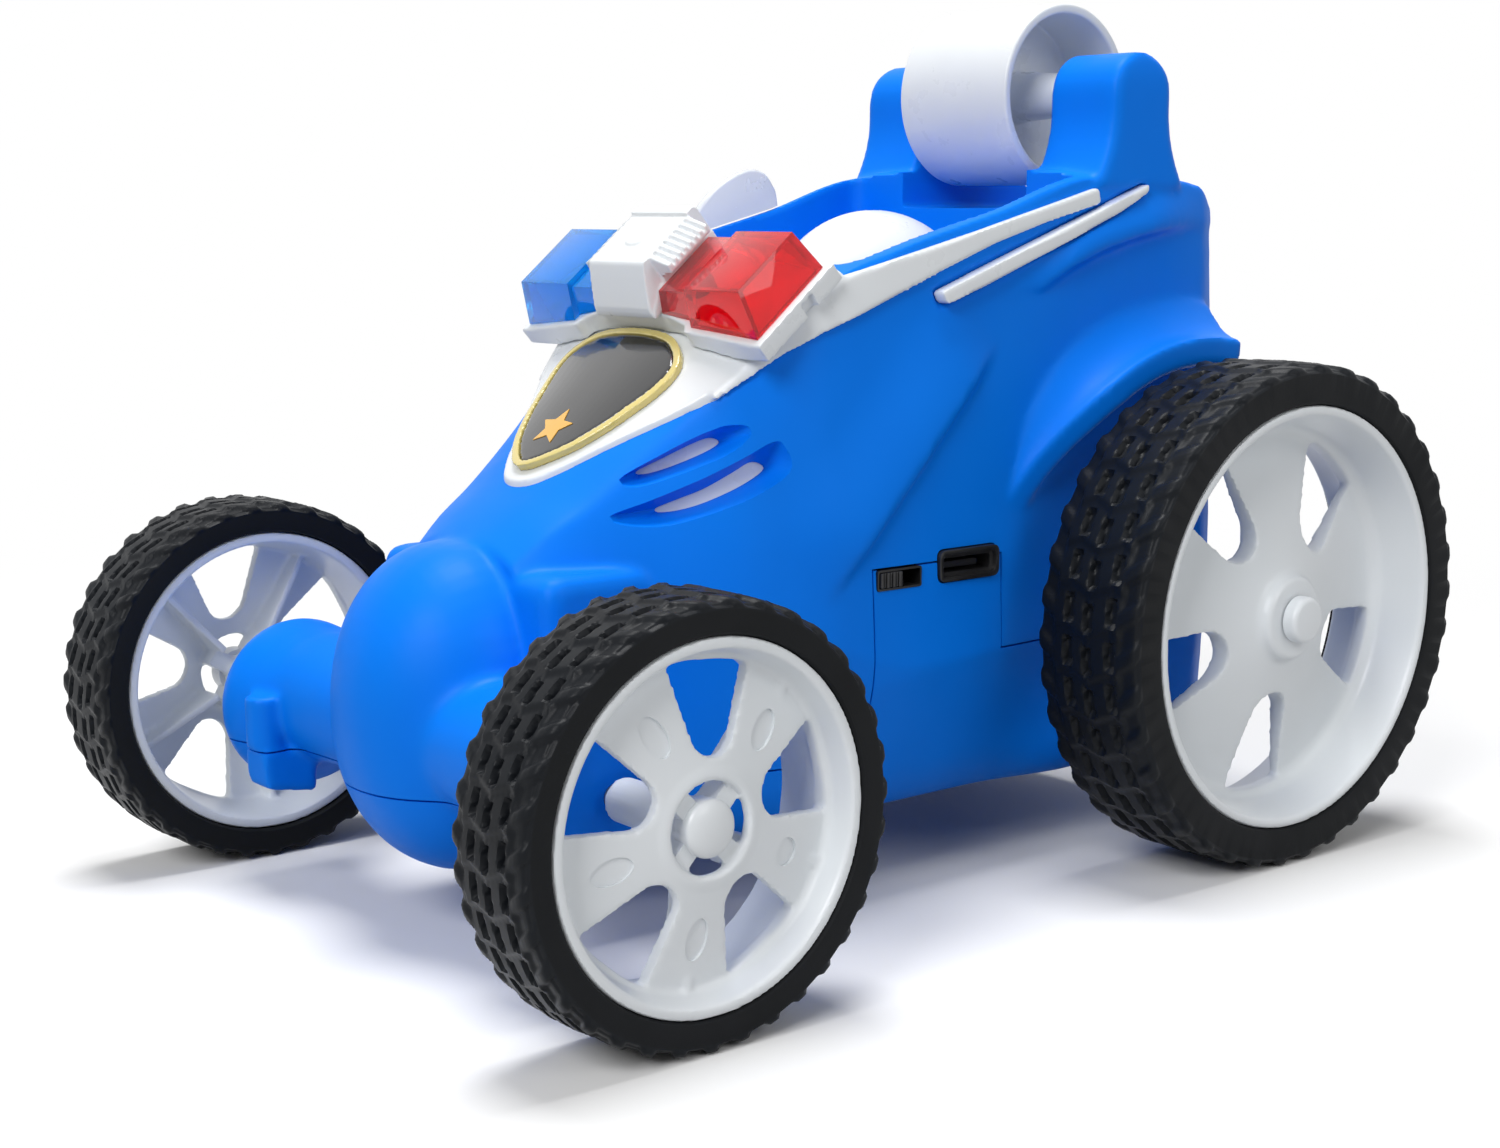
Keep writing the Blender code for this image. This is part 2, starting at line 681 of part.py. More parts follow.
def trim_form(name):
    """Prism around the hood trim: a V over the hood and an arm along each cockpit side."""
    tip = [(0.0, 13.9), (3.6, 14.7), (7.0, 17.7), (14.3, 26.0), (20.9, 33.4), (22.6, 36.5), (23.0, 40.0),
           (23.0, COCKPIT_FRONT - 1.2)]
    low = [(33.6, 76.6), (38.3, 79.9), (43.0, 83.2), (48.8, 86.0), (56.1, 88.6), (70.2, 93.9), (82.8, 98.3),
           (95.0, 102.2), (104.2, 105.0)]
    high = [(104.6, 106.2), (80.0, 100.1), (53.0, 93.9), (COCKPIT_FRONT - 1.2, 99.0), (46.0, 99.0),
            (36.0, 90.0)]
    form = plate(name, [both_sides(tip)], "Z", 50.0, 130.0, WHITE, CUTTERS)
    for side in (1, -1):
        combine(form, plate("arm", [low + high], "X", side * 16.0, side * 40.0, WHITE, CUTTERS), "UNION")
    return form


def strip_form(name, side, by):
    """Prism around the narrow strip below the trim arm."""
    loop = [(72.5, 89.6), (93.8, 96.4), (117.0, 105.0), (117.2, 106.4), (97.4, 101.0), (82.6, 95.8),
            (71.4, 91.2), (70.8, 90.2)]
    return plate(name, [grown(loop, by)], "X", side * 22.0, side * 40.0, WHITE, CUTTERS)


def skin(obj, outer, inner, stations=OUTER_Y, points=OUTER_STEPS):
    """Keep the slice of obj between the hull grown by inner and by outer."""
    combine(obj, hull("outer", outer, None, stations, points), "INTERSECT")
    combine(obj, hull("inner", inner, None, stations, points))
    return obj


def keep(obj):
    """Move a piece from the cutters to the car."""
    CUTTERS.objects.unlink(obj)
    CAR.objects.link(obj)


def upper_shell():
    body = body_form("upper_shell")
    x = RAIL_X - RAIL_W
    mouth = both_sides([(x - 5.0, COCKPIT_FRONT), (x - 0.6, COCKPIT_FRONT + 4.0), (x, COCKPIT_BACK)])
    combine(body, plate("mouth", [mouth], "Z", COCKPIT_FLOOR, TOWER_Z + 30.0, BLUE, CUTTERS))
    low = (-TOWER_IN, COCKPIT_BACK - 6.0, DECK_Z)
    combine(body, box("deck", low, (TOWER_IN, TAIL_Y + 30.0, TOWER_Z + 30.0), BLUE, CUTTERS))
    combine(body, plate("lower_half", [lower_outline(GAP / 2.0)], "X", -90.0, 90.0, BLUE, CUTTERS))
    open_side(body)
    open_axles(body)
    end = TOWER_OUT - TOWER_SKIN
    combine(body, rod("bore", -end, end, PIN_R + GAP, ROLLER_AXIS, BLUE, where=CUTTERS))
    for side in (1, -1):
        combine(body, skin(strip_form("groove", side, GAP), 6.0, -GROOVE))
        combine(body, plate("vents", vent_outlines(0.0), "X", side * 6.0, side * 50.0, BLUE, CUTTERS))


def lower_chassis():
    body = body_form("lower_chassis")
    half = plate("lower_half", [lower_outline(-GAP / 2.0)], "X", -90.0, 90.0, BLUE, CUTTERS)
    combine(body, half, "INTERSECT")
    open_side(body)
    open_axles(body)
    wide, front, back = door_size(GAP)
    top = FLOOR_Z + WALL + 1.0
    combine(body, box("door", (-wide, front, FLOOR_Z - 5.0), (wide, back, top), BLUE, CUTTERS))
    pegs = posts("pegs", board_corners(), FLOOR_Z + 0.8, PCB_Z - GAP, POST_R, BLUE, where=CUTTERS)
    combine(body, pegs, "UNION")
    top = MOTOR_AXIS[1] - MOTOR_HALF_H - GAP
    for x in (-14.0, -4.0, 4.0, 14.0):
        low = (x - RIB_T / 2.0, MOTOR_AXIS[0] - 6.0, FLOOR_Z + 0.8)
        combine(body, box("rib", low, (x + RIB_T / 2.0, MOTOR_AXIS[0] + 6.0, top), BLUE, CUTTERS), "UNION")


def door_size(by):
    """Half width, front and back of the battery door, grown by a distance."""
    long = BATTERY_LONG / 2.0 + DOOR_EDGE + by
    return (BATTERY_W / 2.0 + DOOR_EDGE + by, BATTERY_Y - long, BATTERY_Y + long)


def board_corners():
    x = PCB_W / 2.0 - POST_R
    y = PCB_LONG / 2.0 - POST_R
    return [(s * x, BATTERY_Y + t * y) for s in (1, -1) for t in (1, -1)]


def tyre(name, out, wide, radius, seat, axis, side):
    """Tyre with rounded shoulders around a rim of radius seat."""
    r = seat + RIM_SEAT
    half = wide / 2.0
    drop = (radius - r) * 0.45
    edge = [(half - 0.5, r), (half, r + 0.8), (half, radius - drop), (half * 0.55, radius)]
    middle = side * (out - half)
    shape = [(middle + x, q) for x, q in edge] + [(middle - x, q) for x, q in reversed(edge)]
    turned(name, shape, axis, RUBBER, TYRE_STEPS)


def windows(axis, start, r0, r1, half, tip):
    """Openings between the spokes: wide at the rim, rounded toward the hub."""
    loops = []
    for k in range(SPOKES):
        middle = start + 360.0 * k / SPOKES
        a = math.radians(middle)
        loop = arc(axis, r1, middle - half, middle + half, 3)
        for p, q in ((r0 + 0.75 * tip, tip), (r0, 0.5 * tip), (r0, -0.5 * tip), (r0 + 0.75 * tip, -tip)):
            loop.append((axis[0] + p * math.cos(a) - q * math.sin(a),
                         axis[1] + p * math.sin(a) + q * math.cos(a)))
        loops.append(loop)
    return loops


def front_wheel(side, tag):
    o = FRONT_OUT
    i = FRONT_IN
    r = FRONT_RIM_R
    bore = PIN_R + GAP
    tyre("front_%s_tyre" % tag, o, FRONT_W, FRONT_R, r, FRONT_AXIS, side)
    shape = [(i + 0.5, r), (o - 0.2, r), (o - 0.2, r - 1.4), (o - 4.0, r - 3.0), (o - 1.0, 6.6),
             (o - 1.0, 4.6), (o - 4.4, 4.6), (o - 4.4, bore), (i + 0.4, bore), (i + 0.4, 4.4), (o - 5.0, 5.4),
             (o - 6.2, r - 2.8), (i + 0.5, r - 1.6)]
    rim = turned("front_%s_rim" % tag, [(side * x, q) for x, q in shape], FRONT_AXIS, WHITE, RIM_STEPS)
    holes = windows(FRONT_AXIS, 90.0, 9.6, r - 3.3, 17.0, 2.4)
    combine(rim, plate("holes", holes, "X", side * (i + 1.0), side * (o + 4.0), WHITE, CUTTERS))
    neck = o - 4.4 + GAP
    pin = [(PIN_ROOT, 0.0), (PIN_ROOT, PIN_R), (neck, PIN_R), (neck, PIN_HEAD_R), (o - 1.4, PIN_HEAD_R),
           (o - 0.4, PIN_HEAD_R * 0.6), (o - 0.2, 0.0)]
    turned("front_%s_pin" % tag, [(side * x, q) for x, q in pin], FRONT_AXIS, WHITE, PIN_SIDES, closed=False)


def rear_wheel(side, tag):
    o = REAR_OUT
    i = REAR_IN
    r = REAR_RIM_R
    bore = AXLE_R + GAP
    tyre("rear_%s_tyre" % tag, o, REAR_W, REAR_R, r, REAR_AXIS, side)
    shape = [(i + 0.5, r), (o - 0.1, r), (o - 0.1, r - 1.4), (o - 7.4, r - 3.8), (o - 8.4, r - 5.2),
             (o - 5.4, 13.0), (o - 1.6, 6.4), (o - 1.6, bore), (i + 0.6, bore), (i + 0.6, 4.6),
             (o - 8.0, 5.6), (o - 10.6, r - 4.4), (i + 0.5, r - 1.7)]
    rim = turned("rear_%s_rim" % tag, [(side * x, q) for x, q in shape], REAR_AXIS, WHITE, RIM_STEPS)
    holes = windows(REAR_AXIS, 270.0, 12.8, r - 4.9, 13.2, 4.0)
    combine(rim, plate("holes", holes, "X", side * (i + 1.0), side * (o + 4.0), WHITE, CUTTERS))
    seat = o - 1.6 + GAP
    cap = [(seat, 0.0), (seat, HUB_CAP_R), (o + 0.2, HUB_CAP_R), (o + 0.8, HUB_CAP_R - 1.1), (o + 0.9, 0.0)]
    turned("rear_%s_hub_cap" % tag, [(side * x, q) for x, q in cap], REAR_AXIS, WHITE, 16, closed=False)
    rod("rear_%s_axle" % tag, side * (PLATE_X - 1.0), side * (o - 1.9), AXLE_R, REAR_AXIS, STEEL)
    root = GEAR_X + 2.0 * GEAR_W + GEAR_STEP + GAP
    bush = [(root, bore), (root, BUSH_R - GAP), (BODY_X, BUSH_R - GAP), (BODY_X, bore)]
    turned("rear_%s_bush" % tag, [(side * x, q) for x, q in bush], REAR_AXIS, NYLON, PIN_SIDES)


def gear_loop(axis, teeth, phase):
    """Outline of a spur gear with a tooth centred on the angle phase."""
    pitch = MODULE * teeth / 2.0
    root = pitch - 1.25 * MODULE
    tip = pitch + 0.85 * MODULE
    outline = []
    for k in range(teeth):
        middle = phase + 360.0 * k / teeth
        foot = math.degrees(0.62 * MODULE / root)
        crest = math.degrees(0.22 * MODULE / tip)
        outline += [polar(axis, root, middle - foot), polar(axis, tip, middle - crest),
                    polar(axis, tip, middle + crest), polar(axis, root, middle + foot)]
    return outline


def gear(name, axis, teeth, phase, layer, bore, side, where=CAR):
    """Spur gear in one of the two layers beside the gear plate."""
    x0 = GEAR_X + layer * (GEAR_W + GEAR_STEP)
    loops = [gear_loop(axis, teeth, phase)]
    if bore:
        loops.append(circle(axis, bore))
    return plate(name, loops, "X", side * x0, side * (x0 + GEAR_W), NYLON, where)


def gear_train(side, tag):
    half_tooth = 180.0 + 180.0 / SMALL_TEETH
    gear("axle_gear_%s" % tag, REAR_AXIS, BIG_TEETH, MESH_REAR, 1, AXLE_R + GAP, side)
    idler = gear("idler_gear_%s" % tag, IDLER_AXIS, BIG_TEETH, MESH_MOTOR, 0, 0.0, side)
    small = gear("small", IDLER_AXIS, SMALL_TEETH, MESH_REAR + half_tooth, 1, 0.0, side, CUTTERS)
    end = GEAR_X + 2.0 * GEAR_W + 2.0 * GEAR_STEP
    shaft = rod("shaft", side * PLATE_X, side * end, SHAFT_R, IDLER_AXIS, NYLON, where=CUTTERS)
    combine(idler, shaft, "UNION")
    combine(idler, small, "UNION")
    pinion = gear("pinion_%s" % tag, MOTOR_AXIS, SMALL_TEETH, MESH_MOTOR + half_tooth, 0, 0.0, side)
    inside = side * (PLATE_X - 3.0)
    end = side * (GEAR_X + GEAR_W + 0.6)
    combine(pinion, rod("shaft", inside, end, SHAFT_R, MOTOR_AXIS, NYLON, where=CUTTERS), "UNION")
    gear_plate(side, tag)
    motor(side, tag)


def gear_plate(side, tag):
    """Upright plate that carries the axle, the idler and the motor."""
    floor = FLOOR_Z + WALL + GAP
    y0 = MOTOR_AXIS[0] - MOTOR_R
    y1 = REAR_AXIS[0] + 7.0
    top = MOTOR_AXIS[1] + MOTOR_R
    outline = [(y0, floor), (y1, floor), (y1 + 1.0, REAR_AXIS[1] - 10.0), (y1, REAR_AXIS[1] + 8.0),
               (REAR_AXIS[0], IDLER_AXIS[1] + 7.0), (MOTOR_AXIS[0] + 6.0, top), (y0 + 3.0, top),
               (y0, top - 5.0)]
    holes = [circle(REAR_AXIS, AXLE_R + GAP), circle(IDLER_AXIS, SHAFT_R + GAP),
             circle(MOTOR_AXIS, SHAFT_R + 1.8)]
    plate("gear_plate_%s" % tag, [outline] + holes, "X", side * PLATE_X, side * (PLATE_X + PLATE_T), WHITE)


def motor(side, tag):
    """Flat-sided motor can with a bore for the pinion shaft."""
    drop = math.degrees(math.asin(MOTOR_HALF_H / MOTOR_R))
    can = arc(MOTOR_AXIS, MOTOR_R, -drop, drop, 6) + arc(MOTOR_AXIS, MOTOR_R, 180.0 - drop, 180.0 + drop, 6)
    front = PLATE_X - GAP
    body = plate("motor_%s" % tag, [can], "X", side * (front - MOTOR_LONG), side * front, STEEL)
    deep = side * (front - 3.4)
    combine(body, rod("hole", deep, side * (front + 2.0), SHAFT_R + GAP, MOTOR_AXIS, STEEL, where=CUTTERS))


def roller():
    r = ROLLER_R
    h = ROLLER_HALF
    inner = r - ROLLER_WALL
    half = [(h, PIN_R + GAP), (h, ROLLER_HUB_R), (1.2, ROLLER_HUB_R), (1.2, inner), (h, inner), (h, r)]
    turned("roller", half + [(-x, q) for x, q in reversed(half)], ROLLER_AXIS, WHITE, 22)
    end = TOWER_OUT - TOWER_SKIN - GAP
    rod("roller_axle", -end, end, PIN_R, ROLLER_AXIS, STEEL)


def bar_frame():
    """Matrix from the light bar's own axes: across, up the slope, off the slope."""
    return Matrix.Translation((0.0, BAR_Y, BAR_Z)) @ Matrix.Rotation(math.radians(BAR_SLOPE), 4, "X")


def light_bar():
    frame = bar_frame()
    d = BAR_DEEP
    base = [(9.0, 2.6), (13.0, 0.4), (BAR_HALF - 2.0, 0.0), (BAR_HALF, 2.0), (BAR_HALF, d - 2.0),
            (BAR_HALF - 2.0, d)]
    foot = plate("light_bar_base", [both_sides(base)], "Z", 0.0, BAR_T, WHITE, place=frame)
    combine(foot, hull("seat", TRIM_SEAT + TRIM_T + GAP))
    seat = BAR_T + GAP
    top = seat + SIREN_H
    siren = [(1.8, seat), (2.6, seat + 0.7 * SIREN_H), (4.6, top), (d - 0.6, top), (d - 0.2, seat)]
    block = plate("siren_block", [siren], "X", -SIREN_HALF, SIREN_HALF, WHITE, place=frame)
    slots = []
    for k in range(5):
        for side in (1, -1):
            y = d - 2.4 - 2.6 * k
            slots.append([(x + side * SIREN_HALF, y + q) for x, q in rectangle((0.0, 0.0), 2.0, 1.2)])
    combine(block, plate("slots", slots, "Z", seat + 2.0, top + 2.0, WHITE, CUTTERS, frame))
    for side, tag, mat in ((1, "red", RED), (-1, "blue", SKY)):
        lens(tag, side, mat, frame, seat)


def hip(name, side, span, z0, z1, mat, frame, where=CUTTERS, below=0.0):
    """Block on the rectangle span = (x0, y0, x1, y1) whose front and outer end lean in."""
    x0, y0, x1, y1 = span
    rings = []
    for z in (z0 - below, z1):
        lean = LENS_LEAN * (z - z0) / LENS_OUT_H
        ring = [(x0, y0 + lean), (x1 - lean, y0 + lean), (x1 - lean, y1), (x0, y1)]
        rings.append([frame @ Vector((side * x, y, z)) for x, y in ring])
    return loft(name, rings, mat, where)


def lens(tag, side, mat, frame, seat):
    """Hollow two-step lens beside the siren block, with a lamp under it."""
    w = LENS_WALL
    x0 = SIREN_HALF + GAP
    x1 = BAR_HALF - BAR_EDGE
    y0 = BAR_EDGE
    y1 = BAR_DEEP - BAR_EDGE
    reach = LENS_STEP_X + LENS_LEAN + w
    high = seat + LENS_OUT_H
    step = seat + LENS_IN_H
    shell = hip("lens_" + tag, side, (LENS_STEP_X, y0, x1, y1), seat, high, mat, frame, CAR)
    low = (x0, y0 + 0.5, reach, y1 - 0.5)
    combine(shell, hip("low", side, low, seat, step, mat, frame), "UNION")
    core = (LENS_STEP_X + w, y0 + w, x1 - w, y1 - w)
    combine(shell, hip("core", side, core, seat, high - w, mat, frame, below=1.0))
    core = (x0 + w, y0 + 0.5 + w, reach, y1 - 0.5 - w)
    combine(shell, hip("core", side, core, seat, step - w, mat, frame, below=1.0))
    spot = Matrix.Translation((side * (LENS_STEP_X - 3.0), BAR_DEEP / 2.0, seat + LAMP_H / 2.0))
    work = bmesh.new()
    bmesh.ops.create_cone(work, cap_ends=True, segments=12, radius1=LAMP_R, radius2=LAMP_R * 0.7,
                          depth=LAMP_H, matrix=frame @ spot)
    finish("lamp_" + tag, work, mat, CAR)


def hood_trim():
    keep(skin(trim_form("hood_trim"), TRIM_SEAT + TRIM_T, TRIM_SEAT))


def side_strip(side, tag):
    keep(skin(strip_form("side_strip_" + tag, side, 0.0), STRIP_PROUD, GAP - GROOVE))


def vent_insert(side, tag):
    """White backing seated behind the two vents of one side."""
    around = [(20.4, 67.4), (36.0, 74.4), (41.0, 71.0), (43.4, 66.6), (34.0, 61.6), (20.4, 59.0),
              (17.6, 61.4)]
    insert = plate("vent_insert_" + tag, [around], "X", side * 6.0, side * 50.0, WHITE)
    seat = WALL + 1.5 * GAP
    skin(insert, -seat, -seat - INSERT_T, INNER_Y, INNER_STEPS)


def shield(by):
    """Badge outline with its tip at the origin, grown by a distance."""
    h = BADGE_HALF
    l = BADGE_LONG
    side = [(0.0, 0.0), (h * 0.43, l * 0.14), (h * 0.70, l * 0.33), (h * 0.94, l * 0.60), (h, l * 0.74),
            (h * 0.93, l * 0.85), (h * 0.68, l * 0.96), (h * 0.25, l)]
    return grown(both_sides(side), by)


def badge():
    """Shield-shaped badge on the trim, a gold rim around a dark field."""
    tilt = Matrix.Rotation(math.radians(BADGE_SLOPE), 4, "X")
    place = Matrix.Translation((0.0, BADGE_Y, at_station(BADGE_Y)[1])) @ tilt
    seat = TRIM_SEAT + TRIM_T + GAP
    rim = plate("badge_rim", [shield(0.0), shield(-BADGE_RIM)], "Z", -8.0, 8.0, GOLD, place=place)
    skin(rim, seat + BADGE_T, seat)
    field = plate("badge_field", [shield(-BADGE_RIM - GAP)], "Z", -8.0, 8.0, BLACK, place=place)
    skin(field, seat + BADGE_T - 0.1, seat)


def cockpit():
    """Seat hump on the cockpit floor and the pale fin on the right rail."""
    floor = COCKPIT_FLOOR + GAP
    front = COCKPIT_FRONT + SEAT_AHEAD
    back = COCKPIT_BACK - SEAT_BEHIND
    work = bmesh.new()
    bmesh.ops.create_uvsphere(work, u_segments=18, v_segments=10, radius=1.0)
    size = Matrix.Diagonal((SEAT_HALF, (back - front) / 2.0, SEAT_TOP - floor, 1.0))
    middle = Matrix.Translation((0.0, (front + back) / 2.0, floor))
    bmesh.ops.transform(work, matrix=middle @ size, verts=work.verts)
    cut = bmesh.ops.bisect_plane(work, geom=work.verts[:] + work.edges[:] + work.faces[:], dist=0.001,
                                 plane_co=(0.0, 0.0, floor), plane_no=(0.0, 0.0, -1.0), clear_outer=True)
    edges = [e for e in cut["geom_cut"] if isinstance(e, bmesh.types.BMEdge)]
    bmesh.ops.contextual_create(work, geom=edges)
    finish("seat_hump", work, WHITE, CAR)
    x = RAIL_X - RAIL_W / 2.0
    outline = [(70.0, 101.5), (74.0, 105.0), (79.0, 108.6), (82.5, 110.0), (85.0, 109.0), (87.0, 105.8),
               (86.0, 103.0), (74.0, 100.0)]
    fin = plate("side_fin", [outline], "X", -x - FIN_T / 2.0, -x + FIN_T / 2.0, CLEAR)
    combine(fin, hull("rail", 1.5 * GAP))


def electrics():
    wide, front, back = door_size(0.0)
    box("battery_door", (-wide, front, FLOOR_Z), (wide, back, FLOOR_Z + WALL), BLUE)
    bottom = FLOOR_Z + WALL + GAP
    cell = BATTERY_H / 2.0
    reach = BATTERY_W / 2.0 - cell
    pack = arc((reach, bottom + cell), cell, -90.0, 90.0, 8)
    pack += arc((-reach, bottom + cell), cell, 90.0, 270.0, 8)
    plate("battery_pack", [pack], "Y", BATTERY_Y - BATTERY_LONG / 2.0, BATTERY_Y + BATTERY_LONG / 2.0, WRAP)
    low = (-PCB_W / 2.0, BATTERY_Y - PCB_LONG / 2.0, PCB_Z)
    box("circuit_board", low, (PCB_W / 2.0, BATTERY_Y + PCB_LONG / 2.0, PCB_Z + PCB_T), BOARD)
    case = rectangle(socket_place(), SOCKET_LONG - 2.0 * GAP, SOCKET_H - 2.0 * GAP)
    socket = plate("charge_socket", [case], "X", 21.0, BODY_X - 1.6, BLACK)
    hole = rectangle(socket_place(), SOCKET_LONG - 3.0, SOCKET_H - 1.8)
    combine(socket, plate("hole", [hole], "X", 25.0, BODY_X + 9.0, BLACK, CUTTERS))
    y, z = switch_place()
    long = SWITCH_LONG - SWITCH_TRAVEL - 2.0 * GAP
    knob = rectangle((y - SWITCH_TRAVEL / 2.0, z), long, SWITCH_H - 2.0 * GAP)
    plate("power_switch", [knob], "X", 24.0, BODY_X - 0.4, BLACK)


def simplify(mesh):
    """Merge faces that lie nearly in one plane, then cut them into triangles."""
    work = bmesh.new()
    work.from_mesh(mesh)
    bmesh.ops.dissolve_limit(work, angle_limit=math.radians(2.0), verts=work.verts, edges=work.edges)
    bmesh.ops.triangulate(work, faces=work.faces)
    work.to_mesh(mesh)
    work.free()


def set_origin(name, x, axis):
    """Put a moving piece's origin on its axis."""
    obj = bpy.data.objects[name]
    spot = Vector((x, axis[0] + YF, axis[1])) * MM
    obj.data.transform(Matrix.Translation(-spot))
    obj.location = spot


def set_origins():
    for side, tag in ((1, "left"), (-1, "right")):
        for piece in ("tyre", "rim"):
            set_origin("front_%s_%s" % (tag, piece), side * (FRONT_OUT - FRONT_W / 2.0), FRONT_AXIS)
        for piece in ("tyre", "rim", "hub_cap", "axle"):
            set_origin("rear_%s_%s" % (tag, piece), side * (REAR_OUT - REAR_W / 2.0), REAR_AXIS)
        set_origin("axle_gear_" + tag, side * GEAR_X, REAR_AXIS)
        set_origin("idler_gear_" + tag, side * GEAR_X, IDLER_AXIS)
        set_origin("pinion_" + tag, side * GEAR_X, MOTOR_AXIS)
    set_origin("roller", 0.0, ROLLER_AXIS)
    set_origin("power_switch", BODY_X, switch_place())


for sign, word in ((1, "left"), (-1, "right")):
    front_wheel(sign, word)
    rear_wheel(sign, word)
    gear_train(sign, word)
    side_strip(sign, word)
    vent_insert(sign, word)
roller()
light_bar()
hood_trim()
badge()
cockpit()
electrics()
upper_shell()
lower_chassis()
set_origins()
for word in ("upper_shell", "lower_chassis", "hood_trim", "badge_rim", "badge_field", "light_bar_base"):
    simplify(bpy.data.objects[word].data)
for piece in CAR.objects:
    piece.data.shade_smooth()
    piece.data.set_sharp_from_angle(angle=math.radians(32.0))
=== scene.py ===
"""Looks for the toy stunt car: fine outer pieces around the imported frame, materials, light and camera.

Shapes are worked out in millimetres with the front axle at y = 0, then moved into the frame in metres.
"""
import json
import math

import bmesh
import bpy
import numpy as np
from mathutils import Matrix, Vector

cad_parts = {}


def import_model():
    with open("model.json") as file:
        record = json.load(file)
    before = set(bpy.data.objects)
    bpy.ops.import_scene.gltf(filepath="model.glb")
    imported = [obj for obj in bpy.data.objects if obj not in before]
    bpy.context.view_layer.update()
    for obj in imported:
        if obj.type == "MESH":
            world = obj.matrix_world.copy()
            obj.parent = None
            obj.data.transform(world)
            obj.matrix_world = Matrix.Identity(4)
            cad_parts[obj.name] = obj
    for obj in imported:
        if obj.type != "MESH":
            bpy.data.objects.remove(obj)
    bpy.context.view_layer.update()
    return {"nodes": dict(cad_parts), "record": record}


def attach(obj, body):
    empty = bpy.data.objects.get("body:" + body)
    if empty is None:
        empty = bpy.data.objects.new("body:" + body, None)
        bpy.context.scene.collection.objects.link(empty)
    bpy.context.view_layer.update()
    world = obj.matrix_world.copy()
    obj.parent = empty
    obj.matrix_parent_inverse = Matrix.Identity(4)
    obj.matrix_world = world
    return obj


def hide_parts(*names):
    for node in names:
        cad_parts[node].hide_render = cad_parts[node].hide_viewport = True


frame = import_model()

MM = 0.001
YF = -67.3
TO_FRAME = Matrix.Scale(MM, 4) @ Matrix.Translation((0.0, YF, 0.0))
GAP = 0.3

# Sizes shared with the solids
FRONT_AXIS = (0.0, 28.9)
REAR_AXIS = (123.5, 40.0)
ROLLER_AXIS = (115.4, 121.6)
FRONT_R = 28.9
FRONT_W = 15.0
FRONT_OUT = 65.1
FRONT_RIM_R = 24.1
REAR_R = 40.0
REAR_W = 18.6
REAR_OUT = 58.4
REAR_RIM_R = 33.6
RIM_SEAT = 0.6
SPOKES = 5
PIN_R = 1.5
WALL = 2.0
FLOOR_Z = 12.8
RAIL_X = 28.0
RAIL_Z = 110.0
RAIL_W = 2.2
BODY_X = 32.4
HOOD_Y = 5.0
TAIL_Y = 137.0
COCKPIT_FRONT = 53.5
COCKPIT_BACK = 104.0
COCKPIT_FLOOR = 84.0
DECK_Z = 103.5
SPLIT_NOSE_Z = 23.0
SPLIT_TAIL_Z = 36.6
TAB_FRONT = 56.0
TAB_BACK = 83.0
TAB_Z = 51.4
TOWER_IN = 14.5
TOWER_OUT = 29.0
TOWER_Z = 127.6
BAR_SLOPE = 39.4
BAR_Y = 36.7
BAR_Z = 83.5
BAR_HALF = 29.6
BAR_DEEP = 17.9
BAR_EDGE = 1.2
SIREN_HALF = 7.4
LENS_STEP_X = 14.5
LENS_TOP = 8.3
LENS_LEAN = (1.4, 2.4)
LENS_WALL = 1.0
TRIM_TOP = 1.0
BADGE_HALF = 14.5
BADGE_LONG = 29.3
BADGE_T = 1.0
BADGE_RIM = 1.2
BADGE_Y = 16.2
BADGE_SLOPE = 43.0
SIDES = ((1, "left"), (-1, "right"))
SKY = 0.20


# ---------------------------------------------------------------- materials

def shader(name):
    mat = bpy.data.materials.new(name)
    mat.use_nodes = True
    return mat, mat.node_tree.nodes, mat.node_tree.links, mat.node_tree.nodes["Principled BSDF"]


def noise(nodes, links, scale, detail, spot):
    """Noise over the object's own coordinates, in metres."""
    where = nodes.new("ShaderNodeTexCoord")
    node = nodes.new("ShaderNodeTexNoise")
    node.inputs["Scale"].default_value = scale
    node.inputs["Detail"].default_value = detail
    node.location = spot
    links.new(where.outputs["Object"], node.inputs["Vector"])
    return node


def ramp(nodes, links, source, low, high, spread=(0.3, 0.7)):
    """Colour ramp between two colours or grey values."""
    node = nodes.new("ShaderNodeValToRGB")
    for stop, place, value in zip(node.color_ramp.elements, spread, (low, high)):
        stop.position = place
        stop.color = value if isinstance(value, tuple) else (value, value, value, 1.0)
    links.new(source, node.inputs["Fac"])
    return node


def moulded(name, low, high, rough, fine=2600.0, bump=0.02, coat=0.0, coat_rough=0.15, shine=0.5):
    """Moulded plastic: slight colour drift, uneven gloss and a fine grain."""
    mat, nodes, links, bsdf = shader(name)
    drift = noise(nodes, links, 35.0, 3.0, (-900, 300))
    links.new(ramp(nodes, links, drift.outputs["Fac"], (*low, 1.0), (*high, 1.0)).outputs["Color"],
              bsdf.inputs["Base Color"])
    patch = noise(nodes, links, 160.0, 4.0, (-900, 0))
    links.new(ramp(nodes, links, patch.outputs["Fac"], rough[0], rough[1]).outputs["Color"],
              bsdf.inputs["Roughness"])
    grain = noise(nodes, links, fine, 2.0, (-900, -300))
    relief = nodes.new("ShaderNodeBump")
    relief.inputs["Strength"].default_value = bump
    relief.inputs["Distance"].default_value = 0.0002
    links.new(grain.outputs["Fac"], relief.inputs["Height"])
    links.new(relief.outputs["Normal"], bsdf.inputs["Normal"])
    bsdf.inputs["Specular IOR Level"].default_value = shine
    bsdf.inputs["Coat Weight"].default_value = coat
    bsdf.inputs["Coat Roughness"].default_value = coat_rough
    return mat


